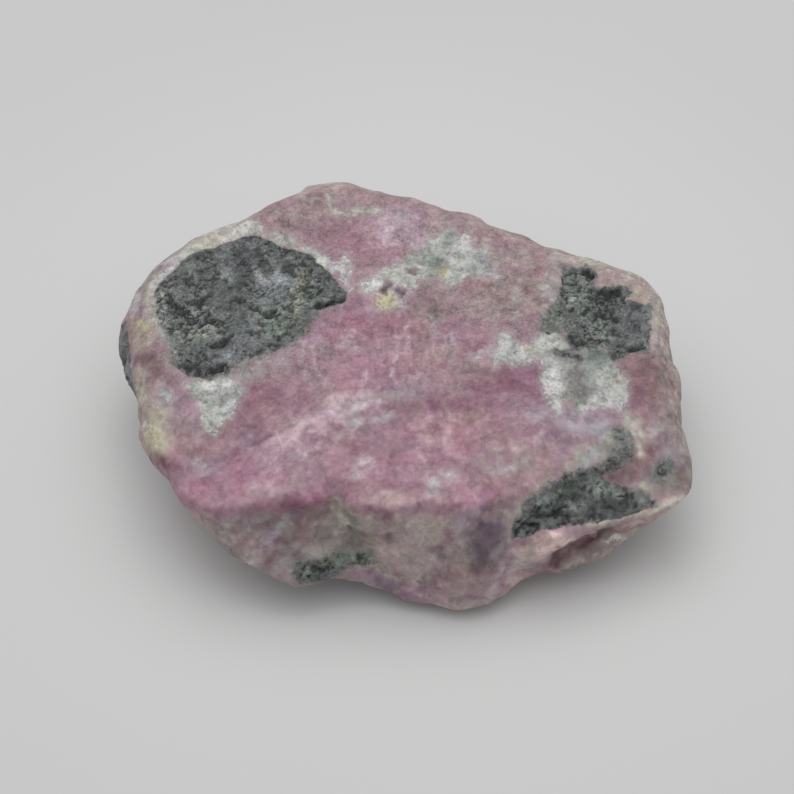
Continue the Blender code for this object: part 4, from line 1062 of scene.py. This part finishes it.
def stone_material():
    n = Nodes("ruby_in_matrix", STONE_SPECULAR)
    wobble = n.centred(n.grain(n.place, 1.1, 3.0)["Color"])
    bent = n.vector("ADD", n.place, n.scaled(wobble, 0.9))
    sugar = n.fac(n.place, 0.20, 2.0, 0.7)
    plate_cells = n.cells(n.turned(bent, PLATE_TURN, PLATE_STRETCH), 0.40)
    plate = n.tones(plate_cells)[0]
    speck = n.tones(n.cells(bent, 0.20))[1]

    # where each kind of stone lies
    melting = n.stored("melting")
    fray = n.product(n.math("SUBTRACT", n.fac(bent, 0.6, 4.0, 0.6), 0.5), 2.2)
    crumb = n.product(n.math("SUBTRACT", sugar, 0.5), 0.7)
    pale = n.total(n.stored("pale"), n.product(fray, 0.60), n.product(crumb, 0.25))
    in_pale = n.math("MAXIMUM", n.between(pale, -0.08, 0.14),
                     n.between(pale, -0.70, 0.10, 0.0, 0.40))
    pod = n.total(n.stored("pod"), n.product(fray, n.between(melting, 0.0, 1.0, 0.22, 1.20)),
                  n.product(crumb, n.between(melting, 0.0, 1.0, 0.30, 0.60)))
    blur = n.between(melting, 0.0, 1.0, 0.05, 0.42)
    in_pod = n.between(n.math("DIVIDE", pod, blur), -1.0, 1.0)
    halo = n.product(n.between(pod, -0.75, 0.10), n.between(melting, 0.0, 1.0, 0.15, 0.85))

    # colour
    rind = n.mix(n.between(plate, 0.3, 0.8), MOSS, SAGE)
    rind = n.mix(n.between(speck, 0.75, 1.0, 0.0, 0.6), rind, PEARL)
    rind = n.mix(n.between(speck, 0.30, 0.0, 0.0, 0.6), rind, SLATE)
    colour = n.mix(halo, ground_colour(n, bent, sugar), rind)
    colour = n.mix(in_pale, colour, vein_colour(n, bent, sugar))
    colour = n.mix(in_pod, colour, mica_colour(n, bent, plate, speck, sugar))

    # finish
    plates = n.total(n.product(plate, 0.09), n.product(speck, 0.05))
    height = n.total(n.product(sugar, 0.030), n.product(n.fac(bent, 0.6, 3.0, 0.6), 0.06),
                     n.product(in_pod, plates))
    bump = n.add("ShaderNodeBump", {"Height": height, "Strength": 0.9, "Distance": MM})
    lean = n.scaled(n.centred(plate_cells["Color"]), n.product(in_pod, 0.35))
    normal = n.vector("NORMALIZE", n.vector("ADD", bump.outputs[0], lean))
    rough = n.total(n.between(fray, -0.3, 0.3, 0.52, 0.64),
                    n.product(in_pod, n.spread(speck, 0.0, -0.20)))
    n.feed(n.shader.inputs["Base Color"], colour)
    n.feed(n.shader.inputs["Roughness"], rough)
    n.feed(n.shader.inputs["Normal"], normal)
    return n.material


def floor_material():
    n = Nodes("studio_floor", FLOOR_SPECULAR)
    colour = n.mix(n.between(n.fac(n.place, 60.0), 0.3, 0.7), FLOOR_DARK, FLOOR_LIGHT)
    # painted pool of light: the floor is lighter round the stone
    middle = n.vector("SUBTRACT", n.place, FLOOR_MIDDLE)
    away = n.vector("LENGTH", middle, output="Value")
    colour = n.mix(n.between(away, *FLOOR_PAINTED_POOL_SPAN), FLOOR_PAINTED_POOL, colour)
    n.feed(n.shader.inputs["Base Color"], colour)
    n.shader.inputs["Roughness"].default_value = FLOOR_ROUGHNESS
    return n.material


def linked(name, data, place=(0.0, 0.0, 0.0), facing=None):
    """An object in the scene, which looks along the vector given."""
    made = bpy.data.objects.new(name, data)
    made.location = place
    if facing is not None:
        made.rotation_mode = "QUATERNION"
        made.rotation_quaternion = facing.to_track_quat("-Z", "Y")
    bpy.context.scene.collection.objects.link(made)
    return made


def add_floor():
    mesh = bpy.data.meshes.new("floor")
    h = FLOOR_HALF
    mesh.from_pydata([(-h, -h, 0), (h, -h, 0), (h, h, 0), (-h, h, 0)], [], [(0, 1, 2, 3)])
    mesh.materials.append(floor_material())
    floor = linked("floor", mesh)


def add_light():
    world = bpy.data.worlds.new("studio")
    world.use_nodes = True
    sky = world.node_tree.nodes["Background"]
    sky.inputs["Color"].default_value = SKY_COLOUR
    sky.inputs["Strength"].default_value = SKY_STRENGTH
    bpy.context.scene.world = world
    for name, place, side, power in LAMPS:
        lamp = bpy.data.lights.new(name, "AREA")
        lamp.size = side
        lamp.energy = power
        linked(name, lamp, place, -Vector(place))


def add_camera():
    lens = bpy.data.cameras.new("camera")
    lens.sensor_width = SENSOR
    lens.lens = SENSOR * DISTANCE / SEEN_WIDTH
    lens.clip_start, lens.clip_end = CLIP
    bpy.context.scene.camera = linked("camera", lens, Vector(EYE * MM), Vector(FORWARD))


stone = fine_mesh(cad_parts["ruby_crystal"])
skin = Skin(stone.data)
skin.shape()
skin.colour()
skin.shares()
stone.data.shade_smooth()
stone.data.materials.append(stone_material())
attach(stone, "root")
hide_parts("ruby_crystal")
add_floor()
add_light()
add_camera()
bpy.context.scene.view_settings.view_transform = "Standard"

bpy.context.view_layer.update()
